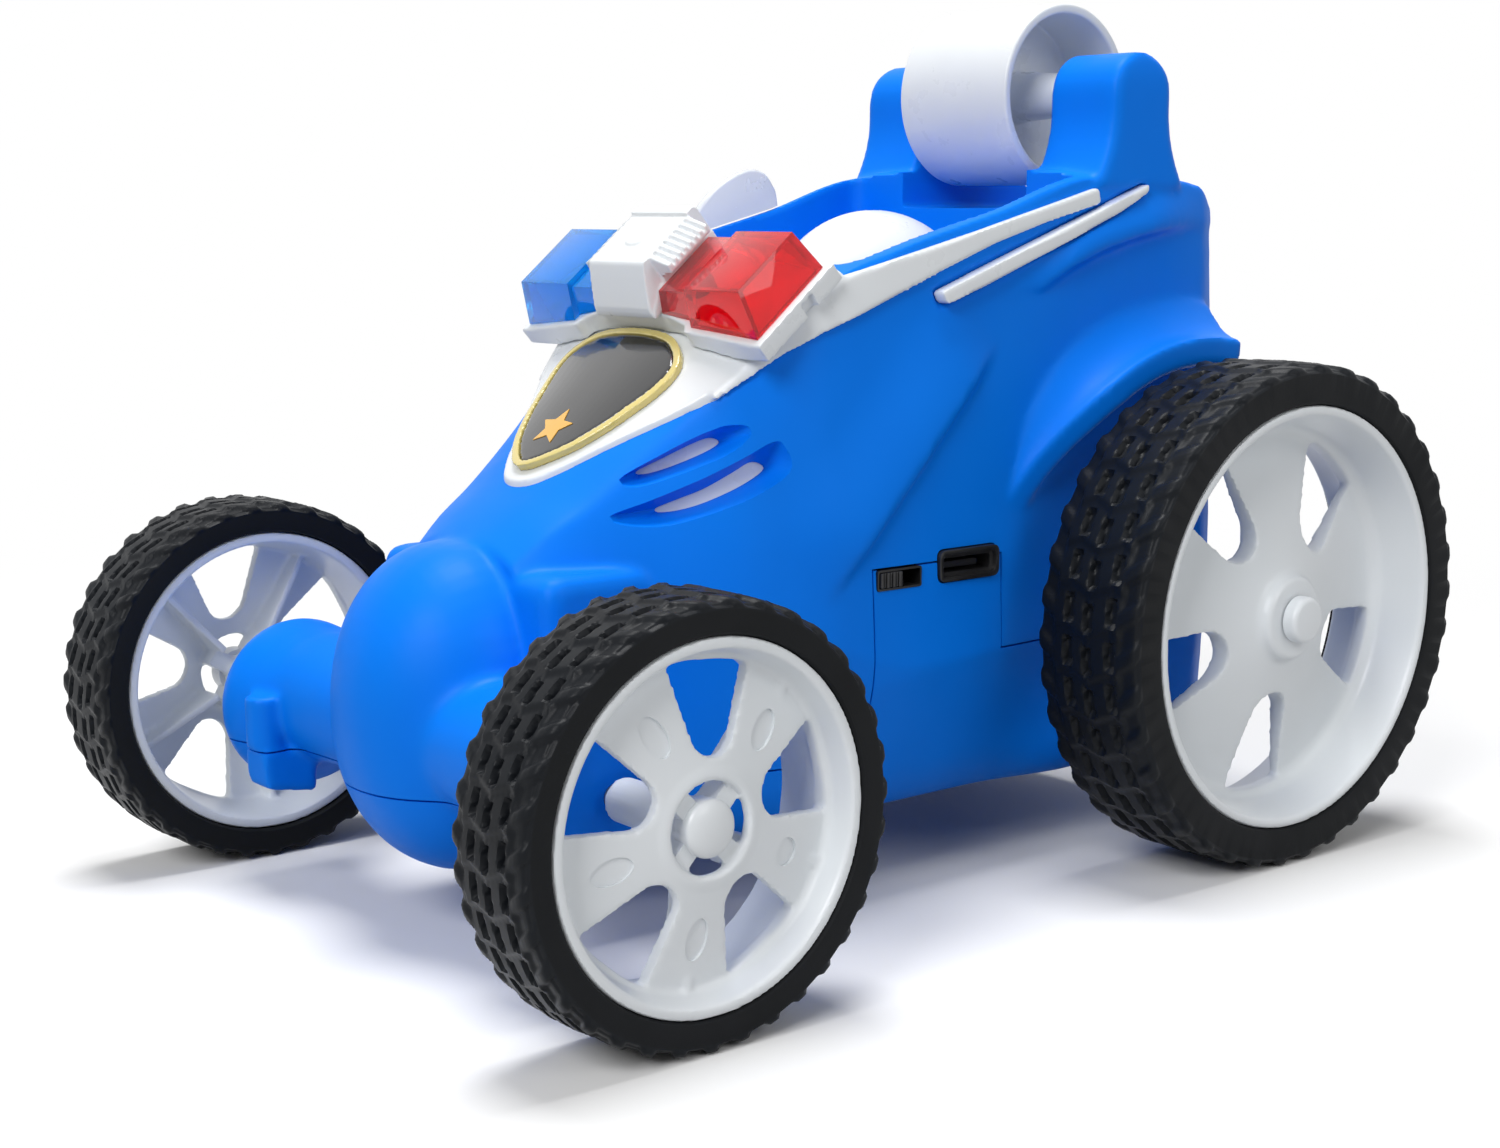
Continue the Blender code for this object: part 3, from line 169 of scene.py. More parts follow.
def clear(name, colour, rough, transmission, ior=1.49):
    """Clear coloured plastic with faint flow marks in its gloss."""
    mat, nodes, links, bsdf = shader(name)
    bsdf.inputs["Base Color"].default_value = (*colour, 1.0)
    flow = noise(nodes, links, 220.0, 3.0, (-900, 0))
    links.new(ramp(nodes, links, flow.outputs["Fac"], rough[0], rough[1]).outputs["Color"],
              bsdf.inputs["Roughness"])
    bsdf.inputs["Transmission Weight"].default_value = transmission
    bsdf.inputs["IOR"].default_value = ior
    return mat


def metal(name, colour, rough):
    """Drawn metal with a fine uneven gloss."""
    mat, nodes, links, bsdf = shader(name)
    bsdf.inputs["Base Color"].default_value = (*colour, 1.0)
    bsdf.inputs["Metallic"].default_value = 1.0
    streak = noise(nodes, links, 900.0, 3.0, (-900, 0))
    links.new(ramp(nodes, links, streak.outputs["Fac"], rough[0], rough[1]).outputs["Color"],
              bsdf.inputs["Roughness"])
    return mat


BLUE = moulded("blue_plastic", (0.0, 0.185, 0.84), (0.001, 0.205, 0.90), (0.40, 0.48), shine=0.1)
WHITE = moulded("white_plastic", (0.74, 0.77, 0.80), (0.79, 0.82, 0.84), (0.26, 0.34), coat=0.1)
RIM_WHITE = moulded("rim_white", (0.76, 0.80, 0.83), (0.81, 0.84, 0.87), (0.30, 0.40))
TREAD = moulded("tread_rubber", (0.005, 0.006, 0.008), (0.008, 0.010, 0.013), (0.34, 0.46), 1500.0, 0.03, shine=0.12)
SIDEWALL = moulded("sidewall_rubber", (0.009, 0.010, 0.011), (0.013, 0.014, 0.016), (0.52, 0.64), 1800.0, 0.1,
                   shine=0.08)
BLACK = moulded("black_plastic", (0.006, 0.006, 0.007), (0.010, 0.010, 0.011), (0.30, 0.45))
GOLD = moulded("gold_print", (0.62, 0.50, 0.13), (0.74, 0.62, 0.22), (0.16, 0.26), coat=1.0, coat_rough=0.04)
STAR = moulded("star_print", (0.72, 0.36, 0.02), (0.90, 0.52, 0.04), (0.18, 0.28), coat=1.0, coat_rough=0.04)
FIELD = moulded("black_film", (0.004, 0.004, 0.005), (0.008, 0.008, 0.010), (0.10, 0.16), coat=1.0, coat_rough=0.03)
RED_LENS = clear("red_lens", (0.94, 0.008, 0.025), (0.02, 0.06), 0.80)
BLUE_LENS = clear("blue_lens", (0.01, 0.42, 1.0), (0.02, 0.06), 0.66)
FIN = clear("pale_clear", (0.90, 0.93, 0.96), (0.18, 0.28), 0.3)
BULB = clear("lamp_clear", (0.10, 0.03, 0.04), (0.05, 0.12), 0.2)
STEEL = metal("steel", (0.55, 0.56, 0.58), (0.22, 0.34))
NYLON = moulded("nylon", (0.78, 0.77, 0.70), (0.84, 0.83, 0.77), (0.42, 0.5))
BOARD = moulded("board_green", (0.015, 0.14, 0.05), (0.03, 0.20, 0.08), (0.3, 0.4))
WRAP = moulded("battery_wrap", (0.015, 0.07, 0.26), (0.03, 0.11, 0.36), (0.24, 0.32))

CARRIED = {
    "blue_plastic": BLUE, "white_plastic": WHITE, "tyre_rubber": SIDEWALL, "black_plastic": BLACK,
    "red_lens": RED_LENS, "blue_lens": BLUE_LENS, "pale_clear": FIN, "gold_print": GOLD, "steel": STEEL,
    "nylon": NYLON, "board_green": BOARD, "battery_wrap": WRAP,
}
for row in frame["record"]["subparts"]:
    node = frame["nodes"][row["node"]]
    node.data.materials.clear()
    node.data.materials.append(CARRIED[row["material_slot"]])


# ---------------------------------------------------------------- mesh tools

def scratch(name, verts, faces):
    mesh = bpy.data.meshes.new(name)
    mesh.from_pydata([tuple(v) for v in verts], [], faces)
    work = bmesh.new()
    work.from_mesh(mesh)
    bmesh.ops.remove_doubles(work, verts=work.verts, dist=1e-5)
    bmesh.ops.recalc_face_normals(work, faces=work.faces)
    work.to_mesh(mesh)
    work.free()
    obj = bpy.data.objects.new(name, mesh)
    bpy.context.scene.collection.objects.link(obj)
    return obj


def polar(centre, radius, degrees):
    a = math.radians(degrees)
    return (centre[0] + radius * math.cos(a), centre[1] + radius * math.sin(a))


def arc(centre, radius, start, stop, steps):
    return [polar(centre, radius, start + (stop - start) * k / steps) for k in range(steps + 1)]


def circle(centre, radius, steps=32):
    return arc(centre, radius, 0.0, 360.0 - 360.0 / steps, steps - 1)


def fillet(loop, radius, steps=5):
    """Outline with its corners rounded."""
    out = []
    count = len(loop)
    for k in range(count):
        p = np.array(loop[k - 1], float)
        q = np.array(loop[k], float)
        r = np.array(loop[(k + 1) % count], float)
        a = p - q
        b = r - q
        la, lb = np.linalg.norm(a), np.linalg.norm(b)
        reach = min(radius, 0.45 * la, 0.45 * lb)
        a = q + a / la * reach
        b = q + b / lb * reach
        for i in range(steps + 1):
            t = i / steps
            out.append(tuple((1 - t)**2 * a + 2 * t * (1 - t) * q + t * t * b))
    return out


def smooth_loop(loop, each=6):
    """Closed Catmull-Rom curve through the points."""
    pts = np.array(loop, float)
    out = []
    count = len(pts)
    for k in range(count):
        p0, p1, p2, p3 = (pts[(k + j) % count] for j in (-1, 0, 1, 2))
        for i in range(each):
            t = i / each
            out.append(tuple(0.5 * (2 * p1 + (p2 - p0) * t + (2 * p0 - 5 * p1 + 4 * p2 - p3) * t * t
                                    + (3 * p1 - p0 - 3 * p2 + p3) * t**3)))
    return out


def mirrored(half):
    """Outline through points (x, y) of one side, mirrored across x = 0."""
    return half + [(-x, y) for x, y in reversed(half) if x > 1e-6]


AXES = {
    "X": Matrix(((0, 0, 1, 0), (1, 0, 0, 0), (0, 1, 0, 0), (0, 0, 0, 1))),
    "Y": Matrix(((1, 0, 0, 0), (0, 0, 1, 0), (0, 1, 0, 0), (0, 0, 0, 1))),
    "Z": Matrix.Identity(4),
}


def loft(name, rings):
    """Closed solid through rings of equal length, with flat ends."""
    count = len(rings[0])
    verts = [p for ring in rings for p in ring]
    faces = []
    for r in range(len(rings) - 1):
        for i in range(count):
            j = (i + 1) % count
            faces.append((r * count + i, r * count + j, (r + 1) * count + j, (r + 1) * count + i))
    faces.append(tuple(range(count)))
    faces.append(tuple(range((len(rings) - 1) * count, len(rings) * count)))
    return scratch(name, verts, faces)


def plate(name, loop, axis, low, high, place=None):
    """Flat outline pushed along an axis from low to high."""
    move = AXES[axis] if place is None else place @ AXES[axis]
    rings = [[move @ Vector((u, v, w)) for u, v in loop] for w in (low, high)]
    return loft(name, rings)


def turned(name, profile, axis, steps):
    """Closed profile of (x, radius) points turned about the X direction."""
    count = len(profile)
    verts = []
    for k in range(steps):
        c, s = polar((0.0, 0.0), 1.0, 360.0 * k / steps)
        verts += [(x, axis[0] + r * c, axis[1] + r * s) for x, r in profile]
    faces = []
    for k in range(steps):
        n = (k + 1) % steps
        for i in range(count):
            j = (i + 1) % count
            quad = (k * count + i, k * count + j, n * count + j, n * count + i)
            if profile[i][1] < 1e-6 and profile[j][1] < 1e-6:
                continue
            faces.append(quad)
    return scratch(name, verts, faces)


def settle(obj):
    """Apply an object's modifiers."""
    graph = bpy.context.evaluated_depsgraph_get()
    mesh = bpy.data.meshes.new_from_object(obj.evaluated_get(graph))
    obj.modifiers.clear()
    obj.data = mesh
    return obj


def combine(obj, tool, how="DIFFERENCE", solver="MANIFOLD"):
    mod = obj.modifiers.new("combine", "BOOLEAN")
    mod.operation = how
    mod.solver = solver
    mod.object = tool
    settle(obj)
    bpy.data.objects.remove(tool, do_unlink=True)
    return obj


def join(name, parts):
    """One object from several overlapping closed ones."""
    work = bmesh.new()
    for part in parts:
        work.from_mesh(part.data)
        bpy.data.objects.remove(part, do_unlink=True)
    mesh = bpy.data.meshes.new(name)
    work.to_mesh(mesh)
    work.free()
    obj = bpy.data.objects.new(name, mesh)
    bpy.context.scene.collection.objects.link(obj)
    return obj


def remesh(obj, voxel, turns):
    """Even quad skin over an object, with its edges rounded."""
    grid = obj.modifiers.new("grid", "REMESH")
    grid.mode = "VOXEL"
    grid.voxel_size = voxel
    if turns:
        ease = obj.modifiers.new("ease", "SMOOTH")
        ease.factor = 0.5
        ease.iterations = turns
    return settle(obj)


def ease_where(obj, turns, weight):
    """Smooth an object's points by a weight from 0 to 1 of their place."""
    count = len(obj.data.vertices)
    co = np.zeros(count * 3, np.float32)
    obj.data.vertices.foreach_get("co", co)
    level = np.round(np.clip(weight(co.reshape(-1, 3)), 0.0, 1.0) * 5).astype(int)
    group = obj.vertex_groups.new(name="ease")
    for step in range(1, 6):
        group.add(np.nonzero(level == step)[0].tolist(), step / 5.0, "REPLACE")
    mod = obj.modifiers.new("ease", "SMOOTH")
    mod.factor = 0.5
    mod.iterations = turns
    mod.vertex_group = group.name
    settle(obj)
    obj.vertex_groups.clear()
    return obj


def bevelled(obj, width, segments=3, angle=30.0):
    mod = obj.modifiers.new("edge", "BEVEL")
    mod.width = width
    mod.segments = segments
    mod.limit_method = "ANGLE"
    mod.angle_limit = math.radians(angle)
    mod.harden_normals = False
    return settle(obj)


def piece(obj, name, mats, body, nodes=(), angle=38.0):
    """Move a finished shape into the frame and make it ride on its body."""
    obj.name = name
    obj.data.name = name
    obj.data.transform(TO_FRAME)
    index = np.zeros(len(obj.data.polygons), np.int32)
    if isinstance(mats, tuple):
        obj.data.polygons.foreach_get("material_index", index)
    obj.data.materials.clear()
    for mat in mats if isinstance(mats, tuple) else (mats,):
        obj.data.materials.append(mat)
    obj.data.polygons.foreach_set("material_index", index)
    obj.data.shade_smooth()
    obj.data.set_sharp_from_angle(angle=math.radians(angle))
    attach(obj, body)
    if nodes:
        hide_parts(*nodes)
    return obj


# ---------------------------------------------------------------- body forms

# Stations of the hull: y, crown z, shoulder x, shoulder z, widest x, widest z, foot x
HULL = np.array((
    (HOOD_Y, 57.4, 12.6, 54.6, 17.6, 45.0, 15.0),
    (10.0, 61.2, 14.0, 58.6, 19.0, 46.0, 16.6),
    (16.0, 65.4, 15.6, 62.4, 20.8, 47.0, 18.5),
    (28.0, 75.6, 18.2, 72.0, 26.0, 48.0, 22.5),
    (38.0, 84.4, 23.2, 80.8, 29.8, 46.0, 26.0),
    (50.0, 94.8, 26.8, 92.6, BODY_X - 0.3, 40.0, 28.6),
    (64.0, 99.4, 27.5, 97.6, BODY_X, 36.0, 30.0),
    (84.0, 104.4, 27.8, 102.8, BODY_X - 0.6, 36.0, 30.0),
    (106.0, RAIL_Z, RAIL_X, 108.4, BODY_X - 2.2, 38.0, 29.0),
    (122.0, RAIL_Z - 0.4, RAIL_X - 0.2, 108.2, BODY_X - 2.4, 40.0, 28.6),
    (132.0, RAIL_Z - 1.0, RAIL_X - 1.0, 107.0, BODY_X - 2.6, 42.0, 28.0),
    (TAIL_Y, RAIL_Z - 3.6, RAIL_X - 3.0, 103.6, BODY_X - 4.6, 44.0, 26.0),
))
FINE_Y = np.unique(np.concatenate((np.arange(HOOD_Y, TAIL_Y, 1.5), HULL[:, 0])))
CREASE_Y = np.unique(np.concatenate((np.arange(HOOD_Y, TAIL_Y, 0.75), HULL[:, 0])))
INNER_Y = (14.0, 24.0, 32.0, 40.0, 48.0, 56.0, 64.0, 86.0, 96.0, 106.0, 126.0, TAIL_Y - WALL)
FINE_POINTS = (12, 44, 10)
CREASE_POINTS = (12, 130, 10)
INNER_POINTS = (4, 8, 4)
VENT_DEEP = 4.2
CHEEK = 1.6
TIER = 2.3


def at_station(y):
    """Hull values at y, monotone between the stations."""
    rows = HULL
    last = len(rows) - 1
    k = int(np.clip(np.searchsorted(rows[:, 0], y) - 1, 0, last - 1))
    steps = np.diff(rows, axis=0)
    slopes = steps / steps[:, :1]

    def tangent(i):
        if i in (0, last):
            return slopes[min(i, last - 1)]
        a, b = slopes[i - 1], slopes[i]
        total = np.where(a + b == 0.0, 1.0, a + b)
        return np.where(a * b > 0.0, 2.0 * a * b / total, 0.0)

    width = steps[k, 0]
    t = (y - rows[k, 0]) / width
    a = (2 * t**3 - 3 * t**2 + 1) * rows[k] + (t**3 - 2 * t**2 + t) * width * tangent(k)
    b = (3 * t**2 - 2 * t**3) * rows[k + 1] + (t**3 - t**2) * width * tangent(k + 1)
    return a + b


def bend(a, b, c, steps):
    """Points of a quadratic curve from a to c, without a itself."""
    u = np.arange(1, steps + 1) / steps
    return [tuple(p) for p in (np.outer((1 - u)**2, a) + np.outer(2 * u * (1 - u), b) + np.outer(u * u, c))]


def step_up(value, low, high):
    t = min(max((value - low) / (high - low), 0.0), 1.0)
    return t * t * (3.0 - 2.0 * t)


def swell(y, z):
    """How far the side stands out from the plain hull: slanting cheek, rear tier and the tucked-in lower side."""
    ahead = (z - y - 0.4) / 1.4
    along = y + 0.7 * ahead
    full = step_up(along, 46.0, 56.0) * (1.0 - step_up(along, 76.0, 84.0))
    ridge = step_up(ahead, -1.0, 0.2) * (1.0 - step_up(ahead, 0.4, 16.0))
    line = np.interp(y, (93.0, 99.0, 106.0, 114.0, 121.0, 128.0, 135.0),
                     (91.3, 94.4, 96.9, 98.8, 99.9, 100.5, 100.6))
    rear = step_up(y, 86.0, 102.0) * (1.0 - 0.85 * step_up(y, 116.0, 134.0))
    tier = step_up(z - line, -0.8, 0.6) * (1.0 - step_up(z - line, 1.5, 9.0))
    chine = np.interp(y, (57.4, 81.3, 100.0), (33.8, 36.6, 38.0))
    tuck = step_up(y, 44.0, 54.0) * (1.0 - step_up(y, 84.0, 104.0)) * max(0.0, chine - z) * 0.14
    return CHEEK * full * ridge + TIER * rear * tier - tuck


def hull_half(y, grow=0.0, points=FINE_POINTS, detail=False):
    """Half outline of the hull at y as (x, z), from the crown down to the belly."""
    _, top, sx, sz, wx, wz, fx = at_station(y)
    over, side, under = points
    half = [(sx * k / over, top - (top - sz) * (k / over)**2.4) for k in range(over + 1)]
    half += bend((sx, sz), (sx + (wx - sx) * 0.62, sz - (sz - wz) * 0.38), (wx, wz), side)
    low = (fx + (wx - fx) * 0.35, FLOOR_Z + 7.0)
    straight = [(wx + (low[0] - wx) * t, wz + (low[1] - wz) * t) for t in np.linspace(0.0, 1.0, 17)[1:]]
    half += straight + bend(low, (fx, FLOOR_Z + 1.0), (fx - 3.0, FLOOR_Z), under)
    if detail:
        half = [(x + (swell(y, z) if k > over else 0.0), z) for k, (x, z) in enumerate(half)]
    if not grow:
        return half
    line = [(-half[1][0], half[1][1])] + half + [(0.0, FLOOR_Z)]
    moved = []
    for before, here, after in zip(line[:-2], line[1:-1], line[2:]):
        run = after[0] - before[0]
        fall = after[1] - before[1]
        size = math.hypot(run, fall)
        moved.append((here[0] - grow * fall / size, here[1] + grow * run / size))
    moved[0] = (0.0, half[0][1] + grow)
    moved[-1] = (half[-1][0] + grow * 0.4, FLOOR_Z - grow)
    return moved


def hull_x(y, z):
    half = hull_half(y)
    for (x0, z0), (x1, z1) in zip(half[:-1], half[1:]):
        if z1 <= z <= z0:
            return x0 + (x1 - x0) * (z0 - z) / max(z0 - z1, 1e-6)
    return half[0][0]


def hull(name, grow=0.0, roof=None, stations=FINE_Y, points=FINE_POINTS, detail=False):
    """Main body form grown outward by grow; roof caps it from the cockpit back."""
    rings = []
    for y in stations:
        half = hull_half(y, grow, points, detail)
        if roof is not None and y > COCKPIT_FRONT - 8.0:
            half = [(x, min(z, roof - 0.01 * k)) for k, (x, z) in enumerate(half)]
        place = y
        if y in (HOOD_Y, TAIL_Y):
            place += grow if y == TAIL_Y else -grow
        rings.append([(x, place, z) for x, z in half] + [(-x, place, z) for x, z in reversed(half[1:])])
    return loft(name, rings)


def nose(name, shrink=0.0, sides=48, steps=14):
    """Egg-shaped nose that runs back into the hull."""
    half = 17.5 - shrink
    high = 24.0 - shrink
    rows = []
    for k in range(steps):
        a = math.radians(3.0 + 87.0 * k / (steps - 1))
        rows.append((3.0 - (17.5 - shrink) * math.cos(a), half * math.sin(a), high * math.sin(a)))
    rows += [(13.0, half, high * 0.99), (27.0, half * 0.98, high * 0.9)]
    rings = []
    for y, w, h in rows:
        ring = []
        for k in range(sides):
            u, v = polar((0.0, 0.0), 1.0, 360.0 * k / sides)
            ring.append((w * math.copysign(abs(u)**0.88, u), y, 33.2 + h * math.copysign(abs(v)**0.92, v)))
        rings.append(ring)
    return loft(name, rings)


def arm(name, side):
    """Front arm that opens into the bell of the wheel carrier."""
    table = np.array(((8.0, 30.4, 9.6), (28.0, 30.0, 10.0), (31.0, 29.3, 10.5), (34.0, 28.4, 11.6), (37.0, 27.8, 12.6),
                      (39.0, 27.5, 13.0), (40.4, 27.5, 13.1), (42.0, 27.5, 12.8), (43.0, 27.6, 12.0), (43.8, 27.8, 10.6)))
    rings = []
    for x in np.linspace(8.0, 43.8, 64):
        z = np.interp(x, table[:, 0], table[:, 1])
        r = np.interp(x, table[:, 0], table[:, 2])
        rings.append([(side * x, y, v) for y, v in circle((0.0, z), r, 56)])
    return loft(name, rings)


def tongue(name, side):
    """Snap peg on the front of the arm, above the split."""
    return plate(name, circle((side * 31.3, -10.9), 3.0, 40), "Z", 23.4, 31.4)


def latch(name, side):
    """Catch below the split that the peg snaps into."""
    loop = fillet([(-13.0, 23.0), (-12.4, 17.2), (-4.0, 15.8), (-4.0, 23.0)], 0.8, 4)
    return plate(name, loop, "X", side * 28.2, side * 34.8)


def ledge(name, side):
    """Flat-topped shoulder beside the hood, behind the nose."""
    y0 = HOOD_Y - 0.5
    outline = fillet([(y0, 15.6), (y0, 54.0), (30.0, 54.0), (30.0, 15.6)], 3.4, 6)
    rings = []
    for x, drop in ((4.0, 0.0), (20.5, 0.0), (21.6, 0.5), (22.2, 1.2), (22.5, 2.2)):
        rings.append([(side * x, y + drop * (17.0 - y) / 13.0, z - drop * (z - 35.0) / 19.0) for y, z in outline])
    return loft(name, rings)


def tower(name, side):
    """Post with an arched top and a foot that runs out along the rail; it carries one end of the roller axle."""
    rings = []
    levels = list(np.arange(DECK_Z - 7.0, TOWER_Z - 7.0, 0.8)) + list(TOWER_Z - 7.0 + 7.0 * np.sin(
        np.linspace(0.0, math.pi / 2.0, 11)))
    for z in levels:
        flare = max(0.0, (RAIL_Z + 9.0 - z) / 9.0)**2
        deep = 6.75 + 2.2 * min(flare, 1.6)
        above = max(0.0, (z - (TOWER_Z - 7.0)) / 7.0)
        deep *= max(0.12, math.sqrt(max(0.0, 1.0 - (above * 0.985)**2.4)))
        out = TOWER_OUT - 0.9 * above**3 if z > RAIL_Z - 3.6 else RAIL_X - 2.0
        ring = fillet([(TOWER_IN, ROLLER_AXIS[0] - deep), (out, ROLLER_AXIS[0] - deep),
                       (out, ROLLER_AXIS[0] + deep), (TOWER_IN, ROLLER_AXIS[0] + deep)], min(1.5, deep * 0.5), 4)
        rings.append([(side * x, y, z) for x, y in ring])
    return loft(name, rings)


def fender(name, side):
    """Hollow flare around the top of the rear wheel that runs out into the side toward the front."""
    rings = []
    for angle in np.linspace(78.5, 160.0, 60):
        out = 1.0 - step_up(angle, 118.0, 160.0)
        wide = 30.5 + 6.7 * out
        rise = 5.6 * (1.0 - 0.75 * step_up(angle, 135.0, 160.0))
        shape = [(24.0, 38.6), (wide - 0.6, 38.6), (wide, 39.4), (wide, 43.0)]
        shape += [(wide - (wide - 29.0) * t, 43.2 + rise * t**1.9) for t in np.linspace(0.0, 1.0, 12)]
        shape.append((24.0, 43.2 + rise))
        rings.append([(side * x, *polar(REAR_AXIS, r, angle)) for x, r in shape])
    return loft(name, rings)


def vent_loops():
    """Side outlines of the two hood vents of one side, and the parts of them that go right in."""
    upper = [(20.9, 66.0), (27.0, 69.4), (33.5, 72.8), (36.2, 73.4), (37.8, 73.0), (37.6, 71.6), (34.7, 69.3),
             (29.0, 66.8), (23.0, 65.0)]
    lower = [(18.5, 61.1), (24.0, 63.1), (30.7, 65.8), (37.3, 69.2), (40.4, 70.8), (42.0, 70.6), (43.0, 67.4),
             (40.4, 64.9), (33.8, 61.9), (26.0, 59.7), (20.5, 59.8)]
    upper_in = [(25.2, 66.7), (29.0, 68.6), (33.2, 70.8), (35.0, 71.3), (36.0, 70.6), (34.0, 69.2), (29.6, 67.2),
                (26.4, 66.3)]
    lower_in = [(26.5, 61.6), (29.5, 62.8), (33.0, 64.2), (37.0, 66.4), (39.8, 67.8), (41.6, 66.8), (39.0, 64.9),
                (34.0, 62.6), (30.4, 61.4), (27.2, 61.0)]
    return (upper, upper_in), (lower, lower_in)


def recess(name, side, outer, inner):
    """Tool for one vent: its upper wall slants in toward the smaller opening."""
    wide = smooth_loop(outer, 4)
    deep = smooth_loop(inner, 4)
    count = min(len(wide), len(deep))
    rings = []
    for off, share in ((3.0, -0.1), (0.0, 0.0), (-1.4, 0.2), (-4.0, 1.0), (-9.0, 1.0)):
        ring = []
        for k in range(count):
            p = np.array(wide[k * len(wide) // count])
            q = np.array(deep[k * len(deep) // count])
            y, z = p + (q - p) * share
            ring.append((side * (hull_x(p[0], p[1]) * (1 - max(share, 0.0)) + hull_x(q[0], q[1]) * max(share, 0.0)
                                 + off), y, z))
        rings.append(ring)
    return loft(name, rings)


def strip_loop(by=0.0):
    """Side outline of the narrow strip below the trim arm, grown by a distance."""
    low = [(71.4, 89.5), (79.6, 92.1), (88.8, 95.4), (98.8, 98.9), (109.1, 102.7), (116.2, 105.9)]
    high = [(116.5, 107.3), (107.4, 104.1), (97.2, 100.6), (87.3, 97.2), (77.7, 93.9), (70.4, 91.4)]
    loop = np.array(fillet(low + high, 0.8, 4))
    if by:
        middle = loop.mean(0)
        run = np.array((46.0, 16.5)) / math.hypot(46.0, 16.5)
        side = np.array((-run[1], run[0]))
        rel = loop - middle
        along = rel @ run
        loop = loop + np.outer(np.sign(along) * by * (abs(along) > 22.0), run) + np.outer(np.sign(rel @ side) * by, side)
    return [tuple(p) for p in loop]


def skin(obj, outer, inner):
    """Keep the slice of obj between the hull grown by inner and by outer."""
    combine(obj, hull("outer", outer), "INTERSECT")
    combine(obj, hull("inner", inner))
    return obj


def lower_outline(shift):
    """Side outline of the lower half, its top edge moved by shift."""
    front = SPLIT_NOSE_Z + shift
    back = SPLIT_TAIL_Z + shift
    return [(-60.0, -20.0), (-60.0, front), (TAB_FRONT - shift, front), (TAB_FRONT - shift, TAB_Z + shift),
            (TAB_BACK + shift, TAB_Z + shift), (TAB_BACK + shift, back), (200.0, back), (200.0, -20.0)]


SOCKET = (75.5, 50.6, 13.0, 5.2)
SWITCH = (61.1, 49.7, 9.0, 3.2)


def slot_loop(spec, by, radius):
    y, z, long, high = spec
    long = long / 2.0 + by
    high = high / 2.0 + by
    return fillet([(y - long, z - high), (y + long, z - high), (y + long, z + high), (y - long, z + high)], radius)


def body_solid():
    """Whole outer body as one rounded skin, before it is split."""
    parts = [hull("hull", 0.0, None, CREASE_Y, CREASE_POINTS, True), nose("nose")]
    for side in (1, -1):
        parts += [shape("part", side) for shape in (ledge, tower, fender, arm, tongue, latch)]
    body = remesh(join("body", parts), 0.5, 3)
    ease_where(body, 30, lambda p: np.clip((44.0 - p[:, 1]) / 8.0, 0, 1) * np.clip((p[:, 1] - 9.0) / 6.0, 0, 1)
               * np.clip((p[:, 2] - 58.5) / 4.0, 0, 1))
    ease_where(body, 50, lambda p: np.clip((26.0 - abs(p[:, 0])) / 4.0, 0, 1) * np.clip((abs(p[:, 0]) - 7.0) / 3.0, 0, 1)
               * np.clip((3.0 - p[:, 1]) / 5.0, 0, 1) * np.clip((46.0 - p[:, 2]) / 4.0, 0, 1))
    x = RAIL_X - RAIL_W
    mouth = fillet(mirrored([(x - 5.0, COCKPIT_FRONT), (x - 0.6, COCKPIT_FRONT + 4.0), (x, COCKPIT_BACK)]), 3.0)
    combine(body, plate("mouth", mouth, "Z", COCKPIT_FLOOR, 160.0))
    deck = [(-TOWER_IN, COCKPIT_BACK - 6.0), (TOWER_IN, COCKPIT_BACK - 6.0), (TOWER_IN, 170.0), (-TOWER_IN, 170.0)]
    combine(body, plate("deck", deck, "Z", DECK_Z, 160.0))
    for side in (1, -1):
        groove = plate("groove", strip_loop(0.35), "X", side * 20.0, side * 42.0)
        combine(body, skin(groove, 6.0, -0.9))
    remesh(body, 0.5, 2)
    for side in (1, -1):
        for outer, inner in vent_loops():
            combine(body, recess("vent", side, outer, inner))
    return body


def hollow():
    """Room inside the body; the wall is kept thick around the vents."""
    inside = hull("inside", -WALL, COCKPIT_FLOOR - WALL, INNER_Y, INNER_POINTS, True)
    combine(inside, nose("inside_nose", WALL, 24, 8), "UNION")
    for side in (1, -1):
        pad = plate("pad", [(16.0, 57.0), (46.0, 62.0), (46.0, 76.0), (34.0, 76.0), (16.0, 66.0)], "X", side * 6.0,
                    side * 50.0)
        combine(inside, combine(pad, hull("deep", -VENT_DEEP)))
    return inside


def bores(body):
    for side in (1, -1):
        combine(body, plate("bore", circle(REAR_AXIS, 3.2), "X", side * 24.0, side * 90.0))
        combine(body, plate("bore", circle(FRONT_AXIS, PIN_R + GAP, 20), "X", side * 33.3, side * 90.0))
    for spec, radius in ((SWITCH, 0.5), (SOCKET, 1.4)):
        combine(body, plate("slot", slot_loop(spec, 0.0, radius), "X", 24.0, 60.0))


def body_skins():
    whole = body_solid()
    for name, node in (("upper_skin", "upper_shell"), ("lower_skin", "lower_chassis")):
        body = bpy.data.objects.new(name, whole.data.copy())
        bpy.context.scene.collection.objects.link(body)
        if node == "upper_shell":
            combine(body, plate("half", lower_outline(0.15), "X", -90.0, 90.0))
        else:
            combine(body, plate("half", lower_outline(-0.15), "X", -90.0, 90.0), "INTERSECT")
            door = [(-18.3, 40.7), (18.3, 40.7), (18.3, 83.3), (-18.3, 83.3)]
            combine(body, plate("door", door, "Z", FLOOR_Z - 5.0, FLOOR_Z + WALL + 1.0))
        combine(body, hollow())
        bores(body)
        if node == "upper_shell":
            combine(body, plate("bore", circle(ROLLER_AXIS, PIN_R + GAP, 20), "X", -26.0, 26.0))
        piece(body, name, BLUE, "base", [node])
    bpy.data.objects.remove(whole, do_unlink=True)


# ---------------------------------------------------------------- trim, strips, badge, cockpit

